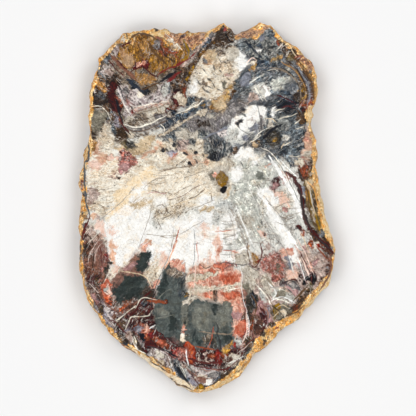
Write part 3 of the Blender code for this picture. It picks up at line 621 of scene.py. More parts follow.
# Last the rind's patches, the darkest and the brightest marks.
lastCoat = (
    ("coral", (136, 66, 138, 62, 141, 64, 139, 67), (144, 62, 4, 4)),
    ("amber", "soft", (141, 35, 17, 10)),
    ("ochre", (173, 45, 7, 8)),
    ("warmGrey", (212, 34, 7, 6)),
    ("umberMottle", (174, 86, 10, 13)),
    ("ink", "hard", (163, 150, 4, 4), (186, 154, 4, 3), (196, 153, 3, 3), (189, 163, 4, 4), (174, 144,
     3, 5), (243, 110, 4, 3), (241, 121, 4, 3), (238, 123, 3, 3), (124, 344, 6, 4)),
    ("oxblood", "hard", (119, 177, 3, 3)),
    ("peach", (184, 36, 212, 29, 190, 53, 183, 41), (235, 38, 237, 31, 260, 20, 272, 26, 249, 39), (293, 67,
     306, 57, 311, 57, 316, 70, 298, 70)),
    ("gold", 3.2, (186, 34, 194, 31, 204, 31)),
    ("gold", (246, 28, 260, 21, 267, 24, 264, 29)),
    ("umber", (231, 36, 10, 14), (263, 335, 8, 5)),
    ("rust", (306, 104, 14, 12), (299, 57, 8, 6)),
    ("gold", (301, 67, 8, 7), (315, 186, 319, 194, 320, 206, 317, 200)),
    ("navy", (278, 158, 4, 4), (182, 376, 9, 8)),
    ("black", "hard", (219, 187, 226, 185, 227, 190, 224, 193, 219, 191), (302, 283, 304, 277, 309, 273,
     315, 275, 318, 281, 315, 287, 311, 280, 307, 281, 306, 287)),
    ("slateBlue", "hard", (277, 157, 5, 5)),
    ("maroon", "hard", (265, 233, 4, 4)),
    ("rust", "hard", 3, (151, 299, 165, 303, 166, 301)),
    ("brick", "hard", (233, 329, 244, 318, 247, 322, 243, 340, 237, 336)),
    ("snow", "hard", (263, 322, 266, 322, 267, 326, 264, 328)),
    ("umber", (272, 325, 7, 6)),
    ("snow", "hard", (265, 325, 3, 4)),
    ("cream", (162, 364, 8, 8)),
    ("navyField", "soft", (173, 360, 180, 362, 190, 380, 184, 384, 173, 370)),
    ("navy", (187, 379, 8, 6)),
    ("gold", 3.6, (97, 62, 100, 56, 119, 37)),
    ("ivory", (124, 37, 7, 8)),
    ("gold", 5.5, (126, 36, 134, 32, 152, 29)),
    ("paleGold", (149, 34, 153, 27, 160, 30, 166, 28, 170, 34, 165, 38, 152, 38)),
    ("peach", (163, 36, 170, 30, 183, 34, 182, 51)),
    ("ivory", (166, 40, 172, 40, 179, 46, 181, 50)),
    ("maroon", (177, 37, 182, 34, 188, 34, 181, 39)),
    ("umber", (156, 28, 6, 3)),
    ("darkUmber", (184, 31, 187, 28, 190, 28, 187, 32)),
    ("gold", 3.4, (274, 30, 283, 40, 294, 45, 311, 60)),
    ("gold", 2.6, (316, 66, 318, 92, 317, 104)),
    # Pale gold down the rind's right side and lower right: partly its own paler colour, partly a painted
    # highlight.
    ("paleGold", 6.5, (311, 108, 310, 116, 312, 124)),
    ("gold", 5.5, (313, 124, 316, 136, 318, 178)),
    # Partly a painted highlight.
    ("paleGold", "soft", 7.5, (320, 184, 330, 234)),
    ("gold", 2.6, (334, 240, 337, 254, 336, 268)),
    # Partly a painted highlight.
    ("paleGold", 8.5, (333, 276, 327, 287, 308, 307)),
    ("gold", 4.4, (314, 292, 300, 311, 276, 328)),
    ("gold", 6.5, (302, 316, 278, 334, 256, 354)),
    ("umber", (263, 340, 266, 341, 265, 345, 262, 344)),
    ("rust", 1.8, (272, 332, 278, 328)),
    # Partly a painted highlight.
    ("paleGold", 2.6, (300, 318, 272, 344)),
    ("gold", 7.5, (251, 360, 248, 368, 240, 376, 230, 382)),
    ("paleGold", 6, (230, 381, 206, 392)),
    ("ochre", 2, (244, 366, 238, 372)),
    ("shell", "soft", 8.5, (190, 388, 166, 376, 134, 355)),
    ("darkUmber", 1.6, (171, 379, 179, 387)),
    ("peach", 4, (134, 355, 122, 346)),
    ("gold", 3, (118, 341, 108, 331, 90, 304, 84, 290)),
    ("gold", 3.4, (84, 290, 80, 272, 79, 222)),
    ("umber", 1.8, (80, 244, 80, 258)),
    ("gold", (83, 215, 7, 11)),
    ("ochre", (83, 216, 87, 214, 88, 218, 84, 219)),
    ("umber", (82, 213, 4, 4)),
    ("gold", 5.5, (82, 206, 80, 184, 84, 152, 88, 142)),
    ("rust", (82, 185, 4, 11)),
    ("paleGold", 1.8, (85, 164, 87, 150)),
    ("maroon", (84, 194, 5, 6)),
    ("gold", 1.6, (88, 136, 90, 96)),
    ("gold", 2, (90, 96, 97, 62)),
)
markings = (ground, firstCoat, secondCoat, thirdCoat, lastCoat)


# Lines on the face: what they are made of, their width and the points of each stroke. The layers
# are seams under veins under cracks.
lines = {
    "seams": (
        ("oxblood", 2.6, (112, 56, 130, 73), (259, 306, 264, 312, 266, 321, 263, 330)),
        ("maroon", 1.4, (109, 61, 124, 77), (121, 46, 132, 42), (260, 243, 262, 252, 259, 262, 255, 267,
         250, 264), (300, 252, 310, 272, 312, 282)),
        ("oxblood", 1.4, (130, 73, 135, 69, 141, 67, 147, 70, 152, 75, 157, 77)),
        ("crimson", 1.6, (157, 76, 165, 70, 180, 64, 187, 59), (256, 262, 260, 260)),
        ("umber", 1.6, (137, 87, 145, 89, 158, 83), (305, 184, 309, 196, 309, 208, 313, 220, 319, 230),
         (137, 42, 143, 56), (252, 296, 256, 304, 255, 314, 250, 322)),
        ("oliveGold", 2.6, (183, 40, 189, 51, 187, 57, 181, 62)),
        ("darkUmber", 1, (119, 34, 123, 31, 126, 33, 127, 38)),
        ("oxblood", 1.2, (278, 96, 292, 101, 296, 105)),
        ("maroon", 1, (282, 108, 288, 106, 293, 108), (98, 242, 101, 252, 101, 264), (311, 268, 316, 276,
         318, 284)),
        ("taupe", 1.8, (270, 67, 282, 70, 292, 76, 299, 85, 301, 96)),
        ("ochre", 1.2, (282, 62, 294, 70, 302, 80, 306, 92, 304, 102), (306, 68, 313, 80, 316, 92,
         315, 102)),
        ("steelLilac", 1.2, (286, 60, 298, 69, 306, 80, 310, 92, 308, 104)),
        ("umber", 1.4, (300, 66, 308, 76, 313, 88, 314, 100), (286, 316, 296, 312, 304, 306), (291, 56,
         301, 64, 308, 74, 312, 86), (276, 296, 292, 302)),
        ("oxblood", 5, (286, 172, 292, 176, 297, 183, 300, 191, 305, 218, 314, 234, 328, 246, 334, 254)),
        ("gold", 1, (308, 182, 314, 190, 323, 228)),
        ("umber", 1.2, (248, 242, 247, 252, 250, 263)),
        ("rust", 3, (149, 301, 165, 303)),
        ("oxblood", 2.2, (150, 292, 140, 302, 136, 310, 130, 316)),
        ("maroon", 1.8, (190, 364, 200, 367, 222, 370, 232, 366)),
        ("rust", 1.4, (196, 346, 214, 350)),
        ("taupe", 1.4, (232, 330, 228, 334, 200, 332)),
        ("brick", 1, (213, 328, 212, 338, 209, 346), (222, 250, 236, 252)),
        ("slateBlue", 2, (88, 143, 89, 150, 88, 160, 84, 165, 86, 200, 90, 216)),
        ("maroon", 2.2, (90, 216, 84, 230, 82, 240)),
        ("crimson", 1.2, (176, 64, 186, 60, 196, 52)),
        ("steel", 1.6, (100, 66, 98, 70, 105, 79)),
        ("oxblood", 1, (99, 288, 108, 293)),
        ("darkUmber", 1.2, (86, 232, 92, 242, 94, 254, 92, 268)),
        ("maroon", 1.2, (239, 351, 252, 340, 252, 332)),
        ("brick", 1.2, (172, 250, 180, 228)),
        ("salmon", 1.4, (166, 268, 177, 240)),
        ("coral", 1, (197, 242, 198, 262), (216, 232, 232, 230)),
        ("taupe", 1.6, (188, 199, 196, 196, 204, 190), (262, 276, 270, 282, 280, 298)),
        ("mauve", 1.2, (297, 262, 306, 282)),
        ("coral", 1.2, (283, 172, 287, 176, 289, 181)),
        ("oxblood", 1.6, (282, 284, 288, 281, 296, 280, 300, 286)),
        ("darkUmber", 1.6, (205, 51, 218, 36, 222, 28), (288, 312, 304, 298), (150, 362, 166, 371)),
        ("black", 1.4, (225, 33, 229, 40, 234, 42)),
        ("darkUmber", 1.8, (286, 60, 296, 68, 303, 79, 307, 92, 306, 103), (204, 387, 214, 384, 224, 377)),
        ("ink", 1.2, (282, 68, 291, 74, 298, 84, 300, 96)),
        ("umber", 2.2, (128, 42, 133, 36, 141, 33, 151, 36, 158, 40)),
        ("rust", 1.2, (160, 42, 166, 50, 174, 54, 181, 62)),
        ("wineUmber", 4, (110, 54, 123, 68, 136, 79)),
        ("navy", 4, (126, 79, 143, 92)),
        ("ink", 3, (160, 82, 173, 73)),
        ("crimson", 2.6, (168, 82, 180, 72)),
        ("ink", 2.4, (116, 98, 121, 119, 125, 128, 130, 134), (276, 108, 286, 104, 298, 102)),
        ("umber", 3, (150, 44, 154, 52, 166, 64)),
        ("darkUmber", 2, (160, 46, 165, 55, 173, 61), (132, 331, 142, 350, 149, 357)),
        ("snow", 4, (259, 194, 297, 246)),
        ("snow", 3.6, (269, 156, 290, 189, 303, 218)),
        ("oliveGold", 2, (309, 192, 320, 232)),
        ("steelLilac", 1.6, (204, 138, 228, 127)),
        ("navy", 2.6, (246, 42, 262, 58)),
        ("ink", 2.6, (262, 140, 272, 130, 282, 124)),
        ("mauveBrown", 2, (264, 306, 268, 313, 268, 321)),
        ("olive", 2.2, (272, 304, 276, 311, 274, 320)),
        ("umber", 2.4, (294, 300, 306, 288)),
        ("mauve", 2.2, (286, 286, 292, 290, 296, 296)),
        ("rust", 1.6, (316, 246, 326, 258)),
        ("wineUmber", 2.4, (330, 256, 331, 268, 327, 280, 320, 290)),
        ("ink", 1.8, (158, 347, 178, 357)),
        ("umber", 2, (176, 384, 192, 390)),
        ("black", 1.6, (196, 366, 204, 364, 212, 366)),
        ("maroon", 2.4, (186, 357, 196, 361, 208, 363, 222, 362)),
    ),
    "veins": (
        ("cream", 1, (92, 106, 100, 106, 106, 111, 110, 118), (290, 116, 296, 114), (295, 124, 300, 120),
         (282, 146, 291, 142), (194, 284, 206, 290, 238, 284), (194, 379, 200, 375, 207, 377, 212, 381)),
        ("ivory", .9, (117, 92, 128, 112), (130, 108, 168, 101), (277.5, 49.5, 282.5, 43.5), (287, 55,
         289, 52), (176, 114, 196, 106, 202, 101), (190, 106, 197, 102), (262, 148, 270, 152, 277, 160,
         288, 180), (274, 298, 290, 303), (254, 86, 262, 100), (160, 124, 164, 128, 163, 134), (180, 366,
         184, 371, 186, 377), (166, 34, 171, 38, 174, 45)),
        ("cream", .9, (278, 49, 282, 44), (290, 156, 296, 157, 300, 156), (183, 305, 197, 296, 204, 301),
         (268, 70, 274, 69, 278, 71)),
        ("beige", 1, (292, 50, 296, 56), (266, 119, 272, 119, 276, 122)),
        ("cream", 1.4, (276, 111, 282, 109), (296, 129, 303, 127)),
        ("cream", 1.6, (279, 119, 289, 116)),
        ("beige", .9, (281, 148, 283, 144), (300, 232, 310, 252), (276, 308, 282, 305, 288, 308), (274, 316,
         280, 312, 286, 314)),
        ("steel", .9, (284, 133, 292, 138, 298, 144)),
        ("ivory", 1, (254, 138, 262, 131, 268, 128), (250, 143, 260, 136), (134, 345, 138, 350, 146, 354),
         (132, 338, 134, 344, 138, 348), (134, 336, 137, 346)),
        ("snow", 1, (280, 160, 296, 176), (236, 206, 252, 244)),
        ("paleGrey", 1, (250, 190, 262, 216), (228, 364, 244, 356), (250, 83, 260, 76)),
        ("snow", .5, (240, 266, 242, 278, 242, 292, 249, 322, 249, 336)),
        ("blush", 1.4, (246, 312, 247, 324, 246, 336, 242, 343)),
        ("beige", 1.2, (120, 271, 142, 275, 148, 280, 151, 287)),
        ("cream", 1.2, (116, 321, 135, 306), (136, 307, 142, 298, 156, 300), (126, 328, 129, 321, 133, 317,
         147, 316, 152, 311)),
        ("snow", 1.4, (186, 351, 188, 365), (150, 328, 154, 326)),
        ("blushGrey", 1, (90, 284, 98, 293), (238, 353, 249, 344)),
        ("cream", .7, (85, 234, 95, 222), (88, 243, 98, 233)),
        ("blushGrey", .7, (90, 252, 100, 238), (95, 262, 96, 252, 101, 244), (88, 262, 90, 254, 94, 247)),
        ("greige", .7, (104, 282, 112, 266)),
        ("slateLight", 1, (155, 319, 172, 315)),
        ("slateLight", .9, (158, 299, 164, 293, 171, 289), (190, 322, 202, 318, 213, 320), (219, 322,
         226, 320, 232, 321)),
        ("blush", 1, (196, 262, 194, 290), (247, 62, 252, 58, 256, 60)),
        ("greige", .9, (310, 190, 315, 214), (256, 84, 266, 100)),
        ("blush", 1.2, (298, 240, 304, 250, 313, 274)),
        ("greige", 1, (270, 290, 276, 288, 283, 290)),
        ("snow", 1.2, (269, 284, 276, 292, 272, 298), (272, 300, 280, 297, 288, 299, 294, 303), (298, 258,
         305, 280)),
        ("lilacWhite", 1, (196, 370, 204, 374, 214, 371)),
        ("ivory", 1.2, (226, 290, 240, 288), (124, 124, 134, 127, 146, 125, 166, 116), (256, 284, 268, 298,
         270, 304)),
        ("lilacWhite", 1.6, (118, 88, 124, 104, 134, 118)),
        ("wineUmber", .9, (126, 96, 128, 104, 134, 110, 142, 110, 162, 102)),
        ("taupe", 1, (130, 114, 140, 113, 160, 107, 168, 102)),
        ("darkUmber", .9, (128, 120, 138, 121, 166, 112)),
        ("umber", .9, (124, 128, 134, 131, 146, 130, 168, 120), (91, 294, 101, 311, 120, 335), (101, 306,
         98, 311, 101, 315, 104, 311, 101, 306), (166, 355, 173, 373)),
        ("ink", .9, (121, 90, 123, 97, 127, 103), (271, 305, 278, 310, 284, 318)),
        ("maroon", 1.6, (114, 104, 122, 124, 128, 132), (108, 320, 115, 322, 127, 334), (148, 346, 158, 348,
         176, 359)),
        ("wineUmber", 1.2, (97, 286, 106, 304, 119, 313), (184, 366, 196, 376, 204, 379, 212, 378)),
        ("darkUmber", 1, (131, 334, 139, 350)),
        ("umber", 1, (152, 350, 155, 358, 161, 364, 168, 368)),
        ("mauveBrown", 1.2, (196, 372, 202, 369, 208, 371, 214, 369, 220, 372)),
        ("maroon", 1, (188, 371, 200, 386)),
        ("black", 2.2, (177, 367, 190, 385)),
        ("ink", 2, (120, 340, 129, 347)),
        ("navy", 1.6, (174, 366, 183, 379)),
        ("maroon", 1.2, (222, 372, 238, 360, 244, 350)),
        ("darkUmber", 1.2, (216, 382, 234, 368, 240, 360)),
        ("paleGrey", 1.4, (289, 256, 294, 272)),
        ("blush", 1.6, (302, 258, 309, 276)),
        ("ivory", 1.4, (171, 37, 181, 49)),
    ),
    "cracks": (
        ("ink", 1, (240, 92, 235, 96, 232, 103, 209, 120), (222, 262, 240, 265, 248, 264), (248, 264,
         256, 270, 259, 268), (241, 162, 243, 166), (202, 83, 212, 88), (282, 284, 288, 281, 295, 283,
         300, 289)),
        ("ink", .9, (258, 105, 262, 130), (241, 130, 251, 136), (201, 265, 206, 268, 211, 266), (168, 258,
         154, 292, 150, 320), (221, 81, 224, 85), (188, 366, 191, 370, 193, 377), (146, 346, 170, 352),
         (251, 312, 260, 304), (284, 286, 296, 281, 300, 286), (180, 163, 184, 160), (166, 138, 169, 141)),
        ("navy", .9, (236, 150, 256, 136)),
        ("slateBlue", .9, (268, 118, 266, 128, 262, 136)),
        ("ink", 1.2, (249, 105, 264, 104, 272, 106)),
        ("ink", 1.8, (241, 110, 245, 109.5)),
        ("ink", 2.6, (242.5, 114, 245, 116), (240.5, 120, 242.5, 120), (237.5, 123, 239.5, 123), (191, 163,
         191.5, 165)),
        ("warmGrey", .7, (98, 222, 123, 200, 136, 185), (180, 234, 205, 220), (213, 74, 216, 76), (222, 224,
         232, 225, 241, 222), (222, 229, 232, 230, 242, 227), (222, 234, 232, 235, 243, 232), (222, 239,
         232, 240, 244, 237), (222, 244, 232, 245, 245, 242), (222, 249, 232, 250, 246, 247), (222, 254,
         232, 255, 247, 252)),
        ("taupe", .7, (152, 203, 150, 214, 138, 250), (144, 234, 165, 236, 180, 234), (160, 237, 170, 238,
         178, 235), (144, 188, 148, 184, 158, 184, 166, 182), (160, 170, 200, 164, 212, 164), (186, 178,
         206, 170), (186, 212, 214, 200), (236, 212, 249, 243), (230, 214, 236, 240), (128, 196, 134, 189),
         (276, 222, 286, 225, 296, 222), (224, 238, 236, 235), (279, 206, 286, 203, 294, 202), (281, 212,
         289, 209, 298, 208), (284, 217, 300, 212), (275, 199, 282, 196, 290, 195)),
        ("warmGrey", .9, (174, 229, 170, 252, 160, 276), (232, 208, 249, 250), (270, 288, 286, 286),
         (250, 188, 266, 221, 288, 254), (264, 196, 286, 224, 296, 240)),
        ("steel", .7, (194, 230, 195, 244, 193, 272)),
        ("maroon", .7, (194, 244, 199, 243), (168, 200, 182, 196, 194, 188, 204, 184)),
        ("umber", .9, (157, 206, 162, 205, 166, 209, 164, 214, 160, 213), (211, 194, 211.5, 200), (183, 163,
         186, 160), (92, 190, 97, 189), (90, 300, 99, 313), (270, 262, 278, 259, 286, 262), (268, 272,
         275, 270, 282, 274)),
        ("darkUmber", .9, (166, 207, 168, 212, 171, 214, 167, 217, 162, 218), (218, 58, 221, 63, 219, 69),
         (212, 72, 215, 75)),
        ("umber", .7, (153, 218, 163, 211), (158, 221, 162, 229), (172, 196, 184, 188, 190, 186), (260, 246,
         262, 242, 266, 239), (254, 242, 258, 243), (125, 174, 129, 171), (268, 204, 276, 207, 282, 205),
         (280, 216, 288, 219, 296, 216), (97, 203, 104, 208, 106, 214), (150, 190, 172, 194), (146, 186,
         154, 180, 164, 178), (160, 172, 176, 168, 194, 166)),
        ("mauve", .9, (147, 193, 156, 192, 166, 194)),
        ("taupe", .5, (150, 174, 164, 176, 180, 172), (140, 178, 143, 182), (284, 200, 290, 198), (222, 222,
         236, 220)),
        ("beige", .9, (172, 206, 200, 196, 210, 190)),
        ("slateLight", .7, (252, 192, 262, 218)),
        ("black", 1.6, (216, 323, 218, 328, 217, 333, 219, 338)),
        ("black", 2.4, (219, 338, 221, 350)),
        ("slateGreen", 1, (156, 306, 157, 318, 155, 330)),
        ("slateGreen", .9, (184, 276, 178, 318)),
        ("black", 2.6, (161, 150.5, 163.5, 149.5), (167, 149, 168.5, 151), (238, 125, 239, 127),
         (163, 149.5, 165, 151)),
        ("black", 1.2, (174, 143, 176, 147)),
        ("black", 2.2, (184, 154, 187, 155), (195, 152, 196, 154), (295, 229.5, 297, 228.5), (239.5, 121,
         241.5, 122), (173.5, 143, 175.5, 146), (176, 148, 177, 150), (184, 154, 187, 155), (195, 152,
         196.5, 153), (187.5, 163, 190, 164), (297, 184, 301, 196, 303, 210, 312, 232), (120, 88,
         121, 89.5), (124, 96, 125, 97.5), (135, 117.5, 137, 118), (138.5, 102.5, 140.5, 104.5),
         (149.5, 98.5, 151.5, 96.5), (157.5, 102, 160, 102), (131, 107, 132, 108.5), (144, 93, 145.5, 94)),
        ("maroon", 1.8, (187.5, 163, 189.5, 164)),
        ("ink", 2.2, (261, 221, 262, 224), (277, 254, 280, 253), (118, 93, 119, 95), (178, 143, 180, 146.5),
         (196, 160, 198, 163), (184, 142, 186, 144), (203, 154, 204, 156), (243, 108, 244, 110), (203, 88,
         205, 91), (206, 91, 209, 92), (214, 66, 215, 69), (219, 70, 221, 72), (208, 79, 211, 81), (213, 84,
         214, 86), (198, 81, 200, 84), (224, 62, 226, 63), (203, 70, 205, 72), (218, 89, 220, 90)),
        ("umber", 1, (153, 356, 157, 362, 163, 366)),
        ("maroon", .9, (262, 304, 267, 307, 270, 306)),
        ("paleGrey", .7, (224, 246, 240, 244)),
        ("umberMottle", .9, (126, 268, 134, 257)),
        ("slateGrey", .9, (274, 158, 284, 171, 301, 206)),
        ("taupe", .9, (229, 206, 240, 229, 249, 257)),
        ("maroon", 1, (98, 248, 104, 268)),
        ("darkUmber", 1, (125, 174, 129, 171)),
        ("darkUmber", 2.2, (118.5, 178.5, 120.5, 177)),
        ("black", 1.8, (314, 236, 331, 249)),
        ("umber", 1.2, (160, 37, 166, 40, 170, 46, 168, 52)),
        ("rust", 1.6, (155, 36, 160, 39, 163, 44)),
    ),
}


# How the paint is laid on, in millimetres.
paint = {
    "reach": 9.0,         # a coat's edge is measured this far out
    "coats": 4,
    "edges": ("haze", "torn", "torn", "torn", "torn"),    # each layer's usual edge
    "rindLayer": 4,
    "grain": (.5, .25, 0.0),    # how fibrous, how mixed and how busy the stone is where nothing lies
    "unpainted": (0.5, 0.0),    # fade and wander there
    "sharpest": 0.6,
    "blotCorners": 8,
    "lineSteps": 6,
    "lineMargin": 4,
    "taper": 0.35,        # a line's ends are this much as wide as its middle
    "taperRise": 6,
    "pith": (222, 180),   # the rays and rings run round this place
    "rayCircle": 60.0,    # the rays are as wide as a fibre this far from it
    "fibreWidth": 0.9,
    "fibreLength": 14.0,
    "unrest": (3.5, 3.5, 3.5, 9.0, 9.0, 3.2, 3.2),   # sizes of the noises that unsettle the outlines
    "noisesApart": 7.0,
    "areasApart": 9.0,
    "bend": 2.6,
    "calmBend": 0.9,
    "rindStart": -0.3,    # the rind's gold starts this far outside the face's edge
    "crinkle": 1.5,
}

# Areas where the fibres run straight: their direction in degrees, anticlockwise from the right.
flowAreas = (
    (82, ((130, 40), (190, 40), (186, 70), (160, 84), (134, 76), (120, 60))),
    (24, ((200, 20), (300, 20), (330, 120), (290, 150), (240, 118), (200, 110), (190, 60))),
    (24, ((240, 118), (290, 150), (262, 152), (238, 150))),
    (118, ((250, 160), (320, 150), (340, 260), (300, 270), (270, 230), (250, 190))),
    (72, ((76, 215), (110, 215), (118, 260), (104, 296), (76, 300))),
    (40, ((130, 180), (215, 170), (215, 238), (130, 240))),
)


# A colour from 0 to 255, as a screen shows it, made linear.
def screenColour(triple):
    share = np.array(triple, float) / 255
    return np.where(share <= 0.04045, share / 12.92, ((share + 0.055) / 1.055) ** 2.4)


# A smooth curve through the points, with so many steps from each to the next.
def smoothCurve(points, steps, closed=True):
    p = np.array(points, float)
    if not closed:
        p = np.vstack([2 * p[:1] - p[1:2], p, 2 * p[-1:] - p[-2:-1]])
    before, after, beyond = np.roll(p, 1, 0), np.roll(p, -1, 0), np.roll(p, -2, 0)
    bend = 2 * before - 5 * p + 4 * after - beyond
    twist = 3 * p - before - 3 * after + beyond
    shares = np.arange(steps) / steps
    curve = np.stack([p + 0.5 * ((after - before) * t + bend * t**2 + twist * t**3) for t in shares], 1)
    if closed:
        return curve.reshape(-1, p.shape[1])
    return np.vstack([curve[1:-2].reshape(-1, p.shape[1]), p[-2:-1]])


# The same closed curve in so many equal steps.
def evenlySpaced(curve, count):
    closed = np.vstack([curve, curve[:1]])
    run = np.concatenate([[0], np.cumsum(np.hypot(*np.diff(closed[:, :2], axis=0).T))])
    wanted = np.linspace(0, run[-1], count, endpoint=False)
    return np.stack([np.interp(wanted, run, column) for column in closed.T], 1)


# An outline whose corners are cut off twice.
def rounded(points):
    p = np.array(points, float)
    for _ in range(2):
        after = np.roll(p, -1, 0)
        p = np.stack([0.75 * p + 0.25 * after, 0.25 * p + 0.75 * after], 1).reshape(-1, 2)
    return p


# How far each place is from a line, how far to its left, where along it the nearest point is as a
# share of its length, and for a closed line whether the place is inside.
def measureLine(places, line, closed):
    ends = np.roll(line, -1, 0) if closed else line[1:]
    near = np.full(len(places), 1e9)
    left, share, inside = np.zeros(len(places)), np.zeros(len(places)), np.zeros(len(places), bool)
    run, total = 0.0, np.hypot(*(ends - line[:len(ends)]).T).sum()
    for start, end in zip(line, ends):
        way = end - start
        length = max(np.hypot(*way), 1e-6)
        away = places - start
        t = np.clip(away @ way / length**2, 0, 1)
        gap = np.hypot(*(away - t[:, None] * way).T)
        closer = gap < near
        near[closer] = gap[closer]
        left[closer] = ((away[:, 1] * way[0] - away[:, 0] * way[1]) / length)[closer]
        share[closer] = ((run + t * length) / total)[closer]
        run += length
        if closed and start[1] != end[1]:
            level = (start[1] > places[:, 1]) != (end[1] > places[:, 1])
            crossing = start[0] + (places[:, 1] - start[1]) * way[0] / way[1]
            inside ^= level & (places[:, 0] < crossing)
    return near, left, share, inside


# Which way is out at each point of a ring, judged over some points to both sides.
def outward(ring, reach):
    along = np.roll(ring, -reach, 0) - np.roll(ring, reach, 0)
    across = np.stack([along[:, 1], -along[:, 0]], 1)
    return across / np.linalg.norm(across, axis=1, keepdims=True)


def bumpHeight(x, y, z):
    total = 0.0
    for size, stretch, height in (slab["lumps"], slab["flutes"], slab["nodules"]):
        total += height * noise.noise(Vector((x / size, y / size, z / (size * stretch))))
    return total


# The wall's rings from the underside up, in millimetres, and how far each point stands out.
def wallRings():
    curve = evenlySpaced(smoothCurve(outline, slab["curveSteps"]), slab["pointsRound"])[::-1]
    line = np.stack([curve[:, 0] - slab["centre"][0], slab["centre"][1] - curve[:, 1]], 1)
    rind = curve[:, 2]
    facing = outward(line, slab["normalReach"])
    levels, base, rindShare, rough = np.array(wallProfile).T
    rings, ridges = [], []
    for height in slab["wallHeights"]:
        turn = max(0, (height - slab["rollFrom"]) / (1 - slab["rollFrom"]))
        inset = np.interp(height, levels, base) * slab["baseInset"]
        inset = inset + np.interp(height, levels, rindShare) * rind
        inset = inset + (1 - math.sqrt(1 - turn**2)) * slab["rounding"]
        roughHere = np.interp(height, levels, rough)
        for (x, y), way, inward in zip(line, facing, inset):
            z = height * slab["thickness"]
            if 0 < height < slab["ledgesUpTo"]:
                size = slab["ledgeSize"]
                shift = noise.noise(Vector((x / size, y / size, slab["ledgeTurn"] * height)))
                z += slab["ledgeShift"] * shift * min(1, slab["ledgeRise"] * height)
            bumps = bumpHeight(x, y, z)
            out = roughHere * (bumps - slab["barkSink"]) - inward
            rings.append((x + way[0] * out, y + way[1] * out, z))
            ridges.append(bumps)
    return np.array(rings), np.array(ridges)


# Triangles that fill a ring, and the points that they need inside it.
def filledRing(ring, spacing, z):
    low, high = ring.min(0), ring.max(0)
    rows = np.arange(low[1], high[1], spacing * math.sqrt(0.75))
    columns = np.arange(low[0], high[0], spacing)
    grid = np.array([(x + spacing / 2 * (i % 2), y) for i, y in enumerate(rows) for x in columns])
    near, _, _, inside = measureLine(grid, ring[::slab["fillStep"]], True)
    grid = grid[inside & (near > spacing * slab["fillMargin"])]
    points = [Vector(p) for p in np.vstack([ring, grid])]
    found = delaunay_2d_cdt(points, [], [list(range(len(ring)))], 1, 1e-5)
    sources = [source[0] for source in found[3]]
    triangles = np.array([[sources[i] for i in face] for face in found[2]])
    corners = np.vstack([ring, grid])[triangles]
    one, two = corners[:, 1] - corners[:, 0], corners[:, 2] - corners[:, 0]
    flipped = one[:, 0] * two[:, 1] - one[:, 1] * two[:, 0] < 0
    triangles[flipped] = triangles[flipped][:, ::-1]
    return np.column_stack([grid, np.full(len(grid), z)]), triangles


# The whole slab: its points, its faces, the zone of each face (0 polished, 1 bark, 2 sawn) and how
# far each point stands out of the bark.
def slabShape():
    around, levels = slab["pointsRound"], len(slab["wallHeights"])
    wall, ridges = wallRings()
    faces = []
    for level in range(levels - 1):
        for i in range(around):
            j = (i + 1) % around
            low, high = level * around, (level + 1) * around
            faces.append((low + i, low + j, high + j, high + i))
    zones = [1] * len(faces)
    top = (levels - 1) * around
    face, faceTriangles = filledRing(wall[top:, :2], slab["faceSpacing"], slab["thickness"])
    base, baseTriangles = filledRing(wall[:around, :2], slab["baseSpacing"], 0.0)
    faceStart = len(wall)
    baseStart = faceStart + len(face)
    for corners in faceTriangles:
        faces.append([top + i if i < around else faceStart + i - around for i in corners])
    for corners in baseTriangles:
        faces.append([i if i < around else baseStart + i - around for i in corners[::-1]])
    zones += [0] * len(faceTriangles) + [2] * len(baseTriangles)
    points = np.vstack([wall, face, base])
    ridges = np.concatenate([ridges, np.zeros(len(face) + len(base))])
    return points, faces, zones, ridges


# A small round marking's outline, from its middle, width and height.
def blot(x, y, width, height):
    turns = np.linspace(0, math.tau, paint["blotCorners"], endpoint=False)
    return np.stack([x + width / 2 * np.cos(turns), y + height / 2 * np.sin(turns)], 1)


# The markings one by one, in the order of painting: layer, mineral, edge, width of a band and
# outline. The rind has no outline.
def paintOrder():
    laid = []
    for layer, rows in enumerate(markings):
        usual = paint["edges"][layer]
        if layer == paint["rindLayer"]:
            laid.append((layer, "gold", usual, 0, None))
        for mineral, *rest in rows:
            edge = rest.pop(0) if isinstance(rest[0], str) else usual
            width = 0 if isinstance(rest[0], tuple) else rest.pop(0)
            laid += [(layer, mineral, edge, width, np.reshape(outline, (-1, 2))) for outline in rest]
    return laid


# How deep inside a marking each place is, for the places that it reaches.
def markingDepth(drawn, width, places, calm):
    if len(drawn) == 2 and not width:
        drawn = blot(*drawn.ravel())
    margin = paint["reach"] + width / 2
    here = np.all((places > drawn.min(0) - margin) & (places < drawn.max(0) + margin), 1)
    here = np.flatnonzero(here)
    if width:
        line = smoothCurve(drawn, paint["lineSteps"], False)
        return here, width / 2 - measureLine(calm[here], line, False)[0]
    near, _, _, inside = measureLine(places[here], rounded(drawn), True)
    return here, np.where(inside, near, -near)


